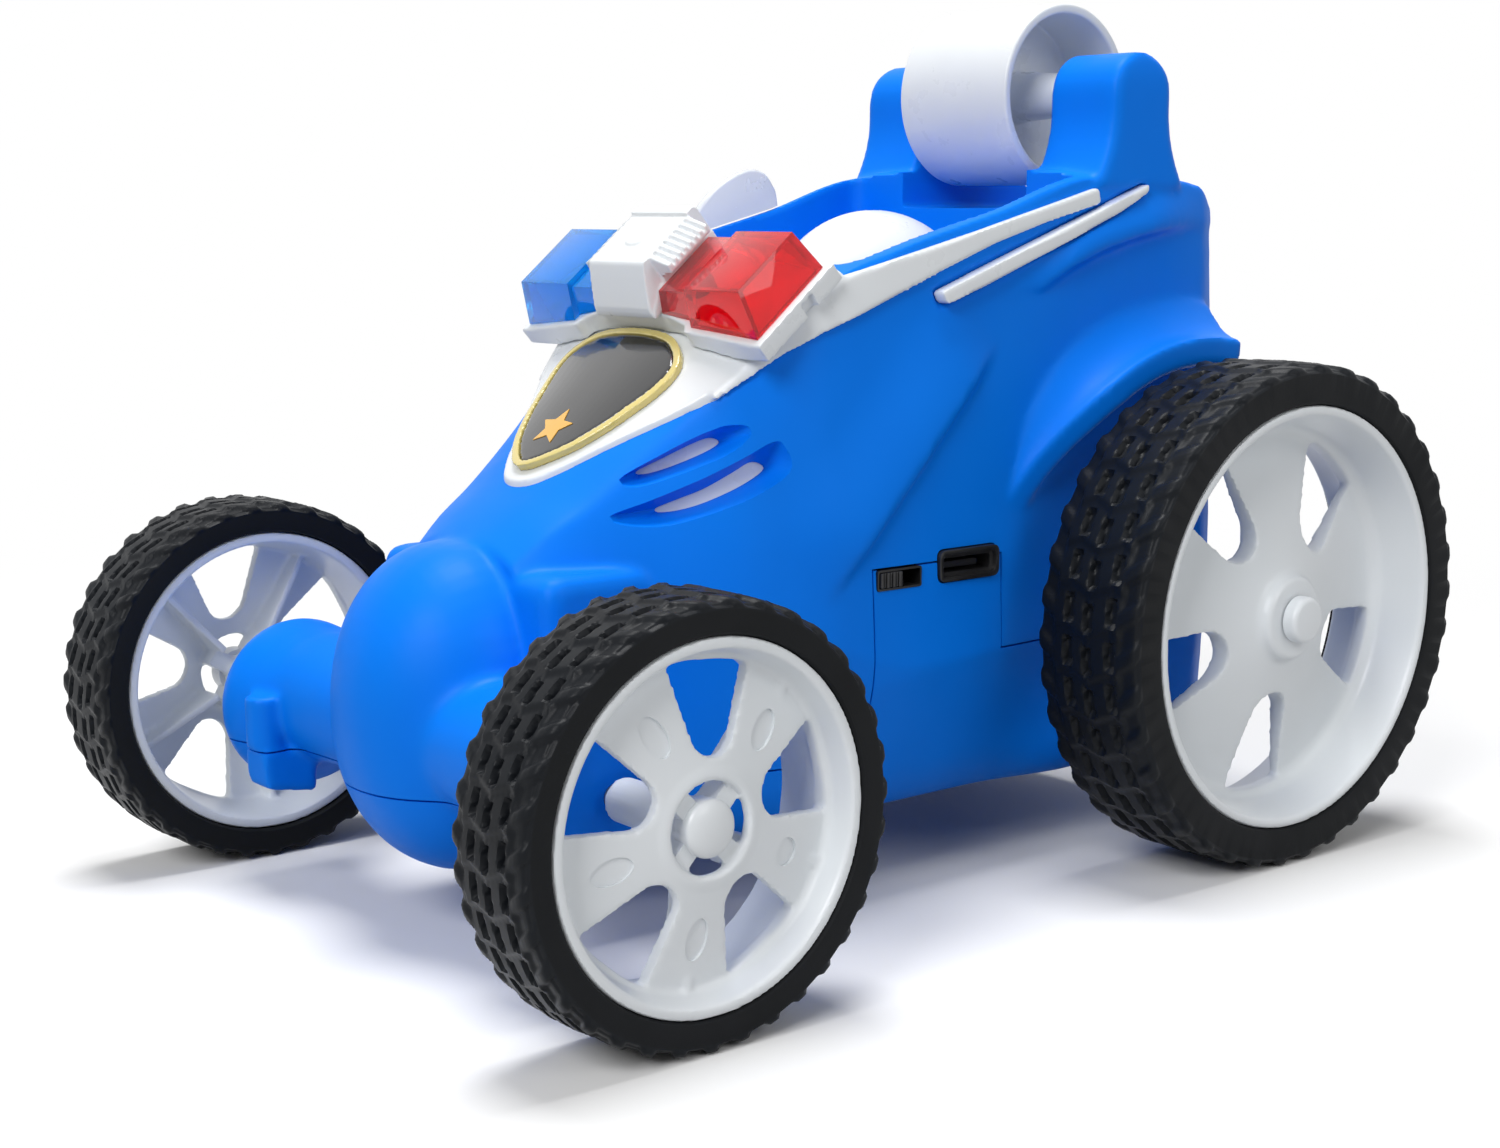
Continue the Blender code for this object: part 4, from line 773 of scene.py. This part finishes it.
def trim():
    tip = [(0.0, 13.9), (3.6, 14.7), (7.0, 17.7), (14.3, 26.0), (20.9, 33.4), (22.6, 36.5), (23.0, 40.0),
           (23.0, COCKPIT_FRONT - 1.2)]
    low = [(33.6, 76.6), (38.3, 79.9), (43.0, 83.2), (48.8, 86.0), (56.1, 88.6), (70.2, 93.9), (82.8, 98.3),
           (95.0, 101.7), (106.0, 104.2)]
    high = [(105.4, 106.7), (80.0, 100.3), (53.0, 93.9), (COCKPIT_FRONT - 1.2, 99.0), (46.0, 99.0), (36.0, 90.0)]
    form = plate("trim", fillet(mirrored(tip), 2.0), "Z", 50.0, 130.0)
    for side in (1, -1):
        combine(form, plate("arm", fillet(low + high, 0.8), "X", side * 16.0, side * 40.0), "UNION")
    skin(form, 1.0, -0.7)
    piece(remesh(form, 0.34, 3), "trim_skin", WHITE, "base", ["hood_trim"])


def strips():
    for side, tag in SIDES:
        form = skin(plate("strip", strip_loop(), "X", side * 20.0, side * 42.0), 1.9, -0.6)
        piece(remesh(form, 0.3, 3), "strip_skin_" + tag, WHITE, "base", ["side_strip_" + tag])


def inserts():
    around = smooth_loop([(22.0, 68.0), (36.0, 74.4), (41.0, 71.0), (43.4, 66.6), (34.0, 61.0), (24.0, 59.4)], 4)
    for side, tag in SIDES:
        form = plate("insert", around, "X", side * 6.0, side * 50.0)
        skin(form, -VENT_DEEP - 0.1, -VENT_DEEP - 0.9)
        piece(form, "insert_skin_" + tag, WHITE, "base", ["vent_insert_" + tag])


def shield(by=0.0):
    """Badge outline with its tip at the origin, pulled in by a distance."""
    h = BADGE_HALF
    l = BADGE_LONG
    side = [(0.0, 0.0), (h * 0.43, l * 0.14), (h * 0.70, l * 0.33), (h * 0.83, l * 0.47), (h * 0.94, l * 0.60),
            (h, l * 0.74), (h * 0.93, l * 0.85), (h * 0.68, l * 0.95), (h * 0.36, l * 0.99), (0.0, l)]
    loop = np.array(smooth_loop(mirrored(side), 4))
    run = np.roll(loop, -1, 0) - np.roll(loop, 1, 0)
    out = np.stack((run[:, 1], -run[:, 0]), 1) / np.linalg.norm(run, axis=1)[:, None]
    return [tuple(p) for p in loop - out * by]


def badge():
    """Shield-shaped badge on the trim: gold rim, dark domed field and a plain star."""
    tilt = Matrix.Rotation(math.radians(BADGE_SLOPE), 4, "X")
    place = Matrix.Translation((0.0, BADGE_Y, at_station(BADGE_Y)[1])) @ tilt
    seat = TRIM_TOP + GAP
    rim = plate("rim", shield(), "Z", -8.0, 8.0, place)
    combine(rim, plate("inner", shield(BADGE_RIM), "Z", -9.0, 9.0, place))
    skin(rim, seat + BADGE_T + 0.25, seat - 0.25)
    piece(remesh(rim, 0.22, 2), "badge_rim_skin", GOLD, "base", ["badge_rim"])
    field = plate("field", shield(BADGE_RIM + 0.08), "Z", -8.0, 8.0, place)
    skin(field, seat + BADGE_T, seat)
    piece(remesh(field, 0.3, 4), "badge_field_skin", FIELD, "base", ["badge_field"])
    points = [polar((0.0, 8.4), 3.7 if k % 2 else 1.75, 90.0 + 36.0 * (k + 1)) for k in range(10)]
    star = skin(plate("star", points, "Z", -8.0, 8.0, place), seat + BADGE_T + 0.14, seat + BADGE_T - 0.4)
    piece(star, "badge_star", STAR, "base", angle=20.0)


def bar_place():
    return Matrix.Translation((0.0, BAR_Y, BAR_Z)) @ Matrix.Rotation(math.radians(BAR_SLOPE), 4, "X")


def tray_top(x):
    """Height of the tray, highest under the siren block."""
    return float(np.interp(abs(x), (8.0, 14.0, 28.0), (4.3, 3.1, 1.5)))


def hip(name, side, span, top, lean, off=0.0):
    """Block standing on the tray over the rectangle span = (x0, y0, x1, y1); front and outer end lean in."""
    x0, y0, x1, y1 = span
    rings = []
    for up in (0.0, 1.0):
        ring = [(x0, y0 + lean[1] * up), (x1 - lean[0] * up, y0 + lean[1] * up), (x1 - lean[0] * up, y1 - 0.4 * up),
                (x0, y1 - 0.4 * up)]
        rings.append([bar_place() @ Vector((side * x, y, top if up else tray_top(x) + 0.1 + off)) for x, y in ring])
    return loft(name, rings)


def lens(tag, side, mat):
    """Hollow two-step lens beside the siren block."""
    w = LENS_WALL
    x0 = SIREN_HALF + 0.15
    x1 = BAR_HALF - BAR_EDGE
    y0 = BAR_EDGE
    y1 = BAR_DEEP - BAR_EDGE
    reach = LENS_STEP_X + 2.0
    shell = hip("lens", side, (LENS_STEP_X, y0, x1, y1), LENS_TOP, LENS_LEAN)
    combine(shell, hip("low", side, (x0, y0 + 1.2, reach, y1 - 0.3), LENS_TOP - 0.9, (0.0, 1.6)), "UNION")
    bevelled(shell, 0.55, 3)
    combine(shell, hip("core", side, (LENS_STEP_X + w, y0 + w, x1 - w, y1 - w), LENS_TOP - w, LENS_LEAN, -0.6))
    combine(shell, hip("core", side, (x0 + w, y0 + 1.2 + w, reach, y1 - 0.3 - w), LENS_TOP - 0.9 - w, (0.0, 1.6), -0.6))
    piece(shell, "lens_skin_" + tag, mat, "base", ["lens_" + tag], 30.0)


def siren():
    """Siren block: a rounded front, a flat top with ribbed flanks over the lenses, and an oval button."""
    foot = tray_top(0.0) + 0.1
    rings = []
    for y, top in ((1.1, 5.4), (1.3, 6.2), (2.4, 8.1), (3.6, 10.1), (4.6, 11.6), (5.0, 11.9), (5.9, 11.9), (6.0, 11.9),
                   (15.3, 11.9), (15.4, 12.4), (17.0, 12.3), (17.5, 11.6)):
        if 5.95 < y < 15.35:
            half = [(7.4, foot), (7.4, 8.8), (10.3, 9.1), (10.3, 10.4), (6.7, top)]
        else:
            low = foot + (top - foot) * 0.4
            half = [(7.4, foot), (7.3, low), (7.2, low + 0.1), (7.1, low + 0.2), (6.8, top)]
        ring = half + [(-x, w) for x, w in reversed(half)]
        rings.append([bar_place() @ Vector((x, y, w)) for x, w in ring])
    block = loft("siren", rings)
    for k in range(7):
        y = 6.9 + 1.2 * k
        for side in (1, -1):
            cut = [[(side * x, a, b) for a, b in ((y, low), (y + 0.55, low), (y + 0.55, 15.0), (y, 15.0))]
                   for x, low in ((6.6, 11.3), (10.9, 9.5))]
            combine(block, loft("rib", [[bar_place() @ Vector(p) for p in ring] for ring in cut]))
    button = [(2.0 * u, 9.6 + 1.1 * v) for u, v in circle((0.0, 0.0), 1.0, 32)]
    combine(block, plate("button", button, "Z", 10.0, 12.2, bar_place()), "UNION")
    piece(remesh(block, 0.2, 3), "siren_skin", WHITE, "base", ["siren_block"])


def light_bar():
    front = ((-BAR_HALF, 0.0), (-13.4, 0.3), (-12.6, 1.6), (-8.0, 2.4), (8.0, 2.4), (12.6, 1.6), (13.4, 0.3), (BAR_HALF, 0.0))
    rings = []
    for x in sorted({x for x, _ in front} | {-28.0, -20.0, -14.0, 14.0, 20.0, 28.0}):
        y = np.interp(x, [p[0] for p in front], [p[1] for p in front])
        ring = ((y, -1.5), (BAR_DEEP, -1.5), (BAR_DEEP, tray_top(x)), (y, tray_top(x)))
        rings.append([bar_place() @ Vector((x, a, b)) for a, b in ring])
    tray = combine(loft("tray", rings), hull("seat", TRIM_TOP + GAP))
    for side in (1, -1):
        bite = [(side * (BAR_HALF - 1.2), 9.6), (side * 34.0, 9.6), (side * 34.0, 12.0), (side * (BAR_HALF - 1.2), 12.0)]
        combine(tray, plate("bite", bite, "Z", -3.0, 0.6, bar_place()))
    piece(remesh(tray, 0.34, 4), "tray_skin", WHITE, "base", ["light_bar_base"])
    siren()
    lens("red", 1, RED_LENS)
    lens("blue", -1, BLUE_LENS)
    for tag in ("red", "blue"):
        frame["nodes"]["lamp_" + tag].data.materials[0] = BULB


def cockpit():
    floor = COCKPIT_FLOOR + GAP
    profile = [(19.4 * math.cos(a), 18.9 * math.sin(a)) for a in np.linspace(0.0, math.pi / 2.0, 24)]
    verts = []
    for q, z in profile:
        verts += [(q / 19.4 * 15.0 * u, 84.0 + q * v, floor + z) for u, v in circle((0.0, 0.0), 1.0, 72)]
    rings = [verts[k * 72:(k + 1) * 72] for k in range(len(profile) - 1)]
    dome = loft("seat", rings)
    piece(dome, "seat_skin", WHITE, "base", ["seat_hump"])
    outline = smooth_loop([(67.6, 101.0), (69.9, 104.2), (73.2, 107.0), (77.3, 109.1), (80.6, 109.9), (83.1, 109.3),
                           (84.8, 107.7), (86.0, 105.0), (86.0, 98.0), (78.0, 96.0), (68.0, 96.0)], 6)
    fin = bevelled(plate("fin", outline, "X", -27.7, -26.1), 0.5, 3)
    combine(fin, hull("rail", 0.3))
    piece(fin, "fin_skin", FIN, "base", ["side_fin"])


def socket():
    case = plate("socket", slot_loop(SOCKET, -0.2, 1.3), "X", 21.0, BODY_X - 0.3)
    combine(case, plate("ring", slot_loop(SOCKET, -0.9, 1.0), "X", BODY_X - 1.1, 50.0))
    combine(case, plate("hole", slot_loop(SOCKET, -1.5, 0.6), "X", 25.0, 50.0))
    y, z, long, _ = SOCKET
    bar = fillet([(y - long / 2.0 + 1.0, z - 0.45), (y + 2.6, z - 0.45), (y + 2.6, z + 0.45), (y - long / 2.0 + 1.0, z + 0.45)],
                 0.2)
    combine(case, plate("tongue", bar, "X", 24.0, BODY_X - 1.6), "UNION")
    piece(bevelled(case, 0.2, 2), "socket_skin", BLACK, "base", ["charge_socket"])
    y, z, long, high = SWITCH
    well = plate("well", slot_loop(SWITCH, -0.05, 0.4), "X", 25.5, BODY_X - 0.5)
    combine(well, plate("room", slot_loop(SWITCH, -0.35, 0.3), "X", 26.3, 40.0))
    piece(well, "switch_well", BLACK, "base")
    knob = plate("knob", slot_loop((y - 1.8, z, 4.4, high - 0.9), 0.0, 0.3), "X", 26.5, BODY_X - 0.2)
    for k in range(3):
        notch = [(y - 3.2 + 1.2 * k, 0.0), (y - 2.8 + 1.2 * k, 0.0), (y - 2.8 + 1.2 * k, 90.0), (y - 3.2 + 1.2 * k, 90.0)]
        combine(knob, plate("notch", notch, "X", BODY_X - 0.5, 50.0))
    piece(bevelled(knob, 0.12, 2), "knob_skin", BLACK, "switch_knob", ["power_switch"])


# ---------------------------------------------------------------- wheels and roller

def tread_profile(wide, radius, seat):
    """Outline of a tyre from the inner bead over the tread to the outer bead, as (x, r)."""
    h = wide / 2.0
    r = seat + 0.12
    edge = 1.1
    side = [(h - 0.5, r), (h - 0.1, r + 0.3), (h, r + 0.8), (h, radius - edge - 0.4)]
    shoulder = arc((h - edge, radius - 0.2 - edge), edge, 0.0, 84.0, 8)
    top = [(x, radius - 0.2 * (x / h)**2) for x in np.linspace(h - edge - 0.2, -(h - edge - 0.2), 58)]
    half = side + shoulder
    return half + top + [(-x, q) for x, q in reversed(half)], len(side)


def relief(turn, across):
    """Height of the tread pattern: shingled zigzag rows with four slots, and slanting ridges on the shoulders."""
    zig = np.interp(across, (-1.1, -0.77, -0.36, 0.03, 0.48, 0.7, 1.1), (0.15, 0.0, 0.2, -0.04, 0.22, 0.05, -0.2))
    phase = (turn + zig) % 1.0
    step = np.where(phase < 0.84, phase / 0.84, (1.0 - phase) / 0.16)
    height = 0.4 * (step - 1.0) + 0.2
    for spot in (-0.77, -0.36, 0.03, 0.48):
        near = np.abs(across - spot - 0.07 * (phase - 0.45))
        slot = np.clip((0.10 - near) / 0.035, 0.0, 1.0) * np.clip((0.34 - np.abs(phase - 0.46)) / 0.09, 0.0, 1.0)
        height = height - 0.95 * slot
    outer = np.clip((np.abs(across) - 0.62) / 0.08, 0.0, 1.0)
    ridge = np.abs((turn + 0.9 * np.abs(across)) % 1.0 - 0.5) * 2.0
    height = height * (1.0 - outer) + outer * (0.1 - 0.6 * np.clip((0.72 - ridge) / 0.3, 0.0, 1.0))
    return height * np.clip((1.08 - np.abs(across)) / 0.06, 0.0, 1.0)


def tyre(name, side, axis, out, wide, radius, seat, rows, body):
    profile, plain = tread_profile(wide, radius, seat)
    profile = np.array(profile)
    count = len(profile)
    around = rows * 14
    turn = np.arange(around)[:, None] * rows / around
    run = np.roll(profile, -1, 0) - np.roll(profile, 1, 0)
    normal = np.stack((-run[:, 1], run[:, 0]), 1) / np.linalg.norm(run, axis=1)[:, None]
    normal *= np.sign((normal * (profile - (0.0, seat)))[:, 1:2].sum(1, keepdims=True) + 1e-9)
    length = np.concatenate(([0.0], np.cumsum(np.linalg.norm(np.diff(profile, axis=0), axis=1))))
    across = (length / length[-1] * 2.0 - 1.0) * length[-1] / wide * -1.0
    height = relief(turn, across[None, :])
    x = profile[None, :, 0] + normal[None, :, 0] * height
    r = profile[None, :, 1] + normal[None, :, 1] * height
    angle = np.arange(around)[:, None] * 2.0 * math.pi / around
    verts = np.stack((side * (out - wide / 2.0 + x), axis[0] + r * np.cos(angle), axis[1] + r * np.sin(angle)), 2)
    base = np.arange(around)[:, None] * count
    after = (np.arange(around)[:, None] + 1) % around * count
    i = np.arange(count)[None, :]
    j = (i + 1) % count
    faces = np.stack(np.broadcast_arrays(base + i, base + j, after + j, after + i), 2).reshape(-1, 4)
    obj = scratch(name, verts.reshape(-1, 3), faces.tolist())
    spots = np.zeros(len(obj.data.polygons) * 3, np.float32)
    obj.data.polygons.foreach_get("center", spots)
    spots = spots.reshape(-1, 3)
    from_axis = np.hypot(spots[:, 1] - axis[0], spots[:, 2] - axis[1])
    obj.data.polygons.foreach_set("material_index", (from_axis < radius - 1.5).astype(np.int32))
    piece(obj, name + "_skin", (TREAD, SIDEWALL), body, [name], 34.0)


def windows(axis, start, r0, r1, half, tip, scallop):
    """Openings between the spokes: wide at the rim, round toward the hub."""
    a = math.radians(half)
    corner = (r1 * math.cos(a) - r0 - tip, r1 * math.sin(a))
    bend = math.atan2(corner[1], corner[0]) + math.acos(tip / math.hypot(*corner)) - math.pi / 2.0
    loops = []
    for k in range(SPOKES):
        middle = start + 360.0 * k / SPOKES
        a = math.radians(middle)
        loop = []
        for t in np.linspace(-1.0, 1.0, 17):
            loop.append(polar(axis, r1 - scallop * math.cos(t * math.pi * 0.5)**2, middle + half * t))
        ends = [(r0 + tip - tip * math.sin(b), tip * math.cos(b)) for b in np.linspace(bend, math.pi - bend, 13)]
        loop += [(axis[0] + p * math.cos(a) - q * math.sin(a), axis[1] + p * math.sin(a) + q * math.cos(a))
                 for p, q in ends]
        loops.append(loop)
    return loops


def marks(axis, start, radius, long, wide):
    """Oval outlines on the spokes, each with its length along the spoke."""
    loops = []
    for k in range(SPOKES):
        a = math.radians(start + 360.0 * k / SPOKES)
        loop = []
        for u, v in circle((0.0, 0.0), 1.0, 36):
            p, q = radius + long * u, wide * v
            loop.append((axis[0] + p * math.cos(a) - q * math.sin(a), axis[1] + p * math.sin(a) + q * math.cos(a)))
        loops.append(loop)
    return loops


def spoke_box(axis, angle, r0, r1, half):
    """Outline of a straight bar along one spoke."""
    c, s = math.cos(math.radians(angle)), math.sin(math.radians(angle))
    return [(axis[0] + p * c - q * s, axis[1] + p * s + q * c) for p, q in ((r0, -half), (r1, -half), (r1, half), (r0, half))]


def front_rim(side, tag):
    o = FRONT_OUT
    i = o - FRONT_W
    r = FRONT_RIM_R
    bore = PIN_R + GAP
    turn = 0.0 if side > 0 else 13.0
    shape = [(i + 0.2, r), (o - 0.2, r), (o - 0.2, r - 1.5), (o - 3.6, r - 2.5), (o - 4.0, r - 3.1), (o - 1.4, 7.8),
             (o - 1.1, 7.2), (o - 1.1, 6.0), (o - 2.7, 6.0), (o - 3.0, 7.8), (o - 6.0, r - 3.1), (i + 0.2, r - 1.6)]
    rim = turned("rim", fillet([(side * x, q) for x, q in shape], 0.4, 3), FRONT_AXIS, 144)
    boss = [(i - 4.6, bore), (i - 4.6, 3.0), (o - 4.4, 3.2), (o - 4.4, bore)]
    combine(rim, turned("boss", [(side * x, q) for x, q in boss], FRONT_AXIS, 48), "UNION")
    for k in range(4):
        web = spoke_box(FRONT_AXIS, 45.0 + 90.0 * k + turn, 2.2, 6.6, 1.5)
        combine(rim, plate("web", web, "X", side * (o - 6.0), side * (o - 2.2)), "UNION")
    for k in range(SPOKES):
        rib = spoke_box(FRONT_AXIS, 49.0 + 72.0 * k + turn, 6.4, r - 2.0, 0.55)
        combine(rim, plate("rib", rib, "X", side * (o - 8.6), side * (o - 3.6)), "UNION")
    for loop in windows(FRONT_AXIS, 85.0 + turn, 8.9, r - 3.1, 17.8, 3.4, 0.35):
        combine(rim, plate("window", loop, "X", side * (i + 0.6), side * (o + 4.0)))
    remesh(rim, 0.4, 2)
    for k, loop in enumerate(marks(FRONT_AXIS, 49.0 + turn, 14.4, 2.9, 1.7)):
        if k == 4:
            loop = circle(tuple(np.mean(loop, 0)), 1.9, 36)
        rings = []
        for off in (-0.45, 4.0):
            rings.append([(side * (o - 4.0 + 2.8 * (r - 3.1 - math.hypot(y - FRONT_AXIS[0], z - FRONT_AXIS[1]))
                                   / (r - 10.3) + off), y, z) for y, z in loop])
        combine(rim, loft("mark", rings))
    piece(rim, "front_%s_rim_skin" % tag, RIM_WHITE, "front_%s_wheel" % tag,
          ["front_%s_rim" % tag], 30.0)
    neck = o - 4.4 + GAP
    pin = [(33.6, 0.0), (33.6, PIN_R), (neck, PIN_R), (neck, 3.7), (o - 1.6, 3.8)]
    pin += [(o - 1.6 + 1.4 * math.sin(b), 3.8 * math.cos(b)) for b in np.linspace(0.2, math.pi / 2.0, 9)]
    piece(turned("pin", [(side * x, q) for x, q in pin], FRONT_AXIS, 48), "front_%s_pin_skin" % tag, WHITE, "base",
          ["front_%s_pin" % tag])


def rear_rim(side, tag):
    o = REAR_OUT
    i = o - REAR_W
    r = REAR_RIM_R
    bore = 1.8
    face = [(o - 8.9, r - 5.2), (o - 8.2, 24.6), (o - 6.7, 18.6), (o - 5.1, 12.6), (o - 4.0, 9.0), (o - 3.4, 7.4),
            (o - 2.9, 6.9), (o - 2.0, 6.6), (o - 1.7, 6.2)]
    shape = [(i + 0.5, r), (o - 0.1, r), (o - 0.1, r - 1.5), (o - 7.8, r - 3.4)] + face
    shape += [(o - 1.6, bore), (i + 0.6, bore), (i + 0.6, 4.6), (o - 8.0, 5.6), (o - 10.8, r - 4.2),
              (i + 0.5, r - 1.7)]
    rim = turned("rim", fillet([(side * x, q) for x, q in shape], 0.9, 4), REAR_AXIS, 144)
    for loop in windows(REAR_AXIS, 270.0, 12.6, r - 4.7, 13.4, 4.2, 0.0):
        combine(rim, plate("window", loop, "X", side * (i + 1.0), side * (o + 4.0)))
    remesh(rim, 0.45, 3)
    piece(rim, "rear_%s_rim_skin" % tag, RIM_WHITE, "rear_%s_wheel" % tag,
          ["rear_%s_rim" % tag], 30.0)
    seat = o - 1.3
    cap = [(seat, 0.0), (seat, 3.7), (o + 0.1, 3.7)]
    cap += [(o + 0.1 + 0.9 * math.sin(b), 2.8 + 0.9 * math.cos(b)) for b in np.linspace(0.2, math.pi / 2.0, 6)]
    cap.append((o + 1.1, 0.0))
    piece(turned("cap", [(side * x, q) for x, q in cap], REAR_AXIS, 48), "rear_%s_cap_skin" % tag, RIM_WHITE,
          "rear_%s_wheel" % tag, ["rear_%s_hub_cap" % tag])


def wheels():
    for side, tag in SIDES:
        front_rim(side, tag)
        rear_rim(side, tag)
        tyre("front_%s_tyre" % tag, side, FRONT_AXIS, FRONT_OUT, FRONT_W + 0.5, FRONT_R, FRONT_RIM_R, 35,
             "front_%s_wheel" % tag)
        tyre("rear_%s_tyre" % tag, side, REAR_AXIS, REAR_OUT, REAR_W + 1.2, REAR_R, REAR_RIM_R, 38,
             "rear_%s_wheel" % tag)


def roller():
    r = 14.4
    h = 12.2
    half = [(h, PIN_R + GAP), (h, 3.4), (1.2, 4.2), (1.6, 12.4), (h, 12.9), (h, r)]
    shape = fillet(half + [(-x, q) for x, q in reversed(half)], 0.5, 4)
    piece(turned("roller", shape, ROLLER_AXIS, 112), "roller_skin", WHITE, "roller_drum", ["roller"])


# ---------------------------------------------------------------- run

body_skins()
trim()
strips()
inserts()
badge()
light_bar()
cockpit()
socket()
wheels()
roller()


# ---------------------------------------------------------------- stage, light, camera

def seen_rays(nodes, links):
    """1 for what the camera sees directly, in gloss or through clear plastic, else 0."""
    path = nodes.new("ShaderNodeLightPath")
    seen = path.outputs["Is Camera Ray"]
    for name in ("Is Glossy Ray", "Is Transmission Ray"):
        both = nodes.new("ShaderNodeMath")
        both.operation = "MAXIMUM"
        links.new(seen, both.inputs[0])
        links.new(path.outputs[name], both.inputs[1])
        seen = both.outputs["Value"]
    return seen


def stage():
    """Pale floor that holds the shadow near the car and turns plain white farther out."""
    floor = scratch("floor", [(-4, -4, 0), (4, -4, 0), (4, 4, 0), (-4, 4, 0)], [(0, 1, 2, 3)])
    mat, nodes, links, bsdf = shader("floor_pale")
    bsdf.inputs["Roughness"].default_value = 0.8
    bsdf.inputs["Specular IOR Level"].default_value = 0.1
    rays = seen_rays(nodes, links)
    tone = nodes.new("ShaderNodeMix")
    tone.data_type = "RGBA"
    tone.inputs["A"].default_value = (0.42, 0.42, 0.42, 1.0)
    tone.inputs["B"].default_value = (0.96, 0.96, 0.96, 1.0)
    links.new(rays, tone.inputs["Factor"])
    links.new(tone.outputs["Result"], bsdf.inputs["Base Color"])
    where = nodes.new("ShaderNodeTexCoord")
    far = nodes.new("ShaderNodeVectorMath")
    far.operation = "LENGTH"
    links.new(where.outputs["Object"], far.inputs[0])
    fade = nodes.new("ShaderNodeMapRange")
    fade.interpolation_type = "SMOOTHSTEP"
    fade.inputs["From Min"].default_value = 0.18
    fade.inputs["From Max"].default_value = 0.40
    links.new(far.outputs["Value"], fade.inputs["Value"])
    seen = nodes.new("ShaderNodeMath")
    seen.operation = "MULTIPLY"
    links.new(fade.outputs["Result"], seen.inputs[0])
    links.new(rays, seen.inputs[1])
    plain = nodes.new("ShaderNodeEmission")
    mix = nodes.new("ShaderNodeMixShader")
    links.new(seen.outputs["Value"], mix.inputs["Fac"])
    links.new(bsdf.outputs["BSDF"], mix.inputs[1])
    links.new(plain.outputs["Emission"], mix.inputs[2])
    links.new(mix.outputs["Shader"], nodes["Material Output"].inputs["Surface"])
    floor.data.materials.append(mat)


def world():
    """White where it is seen, a dimmer sky for the light on the car."""
    scene = bpy.context.scene
    made = bpy.data.worlds.new("studio")
    made.use_nodes = True
    scene.world = made
    nodes = made.node_tree.nodes
    links = made.node_tree.links
    back = nodes["Background"]
    level = nodes.new("ShaderNodeMapRange")
    level.inputs["To Min"].default_value = SKY
    level.inputs["To Max"].default_value = 1.0
    links.new(seen_rays(nodes, links), level.inputs["Value"])
    links.new(level.outputs["Result"], back.inputs["Strength"])
    back.inputs["Color"].default_value = (1.0, 1.0, 1.0, 1.0)
    scene.view_settings.view_transform = "Standard"


def lamp(name, spot, target, size, power):
    data = bpy.data.lights.new(name, "AREA")
    data.shape = "RECTANGLE"
    data.size, data.size_y = size
    data.energy = power
    obj = bpy.data.objects.new(name, data)
    obj.location = spot
    obj.rotation_euler = (Vector(target) - Vector(spot)).to_track_quat("-Z", "Y").to_euler()
    bpy.context.scene.collection.objects.link(obj)


def camera():
    az = math.radians(50.66168)
    el = math.radians(11.65892)
    back = Vector((math.sin(az) * math.cos(el), -math.cos(az) * math.cos(el), math.sin(el)))
    data = bpy.data.cameras.new("camera")
    data.sensor_fit = "HORIZONTAL"
    data.sensor_width = 36.0
    data.lens = 2266.664 / 1500.0 * 36.0
    data.shift_y = 100.0 / 1500.0
    data.clip_start = 0.01
    obj = bpy.data.objects.new("camera", data)
    obj.location = Vector((274.69, -166.65 + YF, 103.79)) * MM
    obj.rotation_euler = (-back).to_track_quat("-Z", "Y").to_euler()
    bpy.context.scene.collection.objects.link(obj)
    bpy.context.scene.camera = obj


stage()
world()
lamp("key", (0.35, -0.85, 0.70), (0.0, 0.0, 0.05), (0.5, 0.5), 6.6)
lamp("fill", (0.95, 0.15, 0.60), (0.0, 0.0, 0.05), (0.5, 0.5), 2.0)
lamp("top", (-0.10, 0.0, 1.1), (0.0, 0.0, 0.05), (0.5, 0.5), 9.2)
camera()
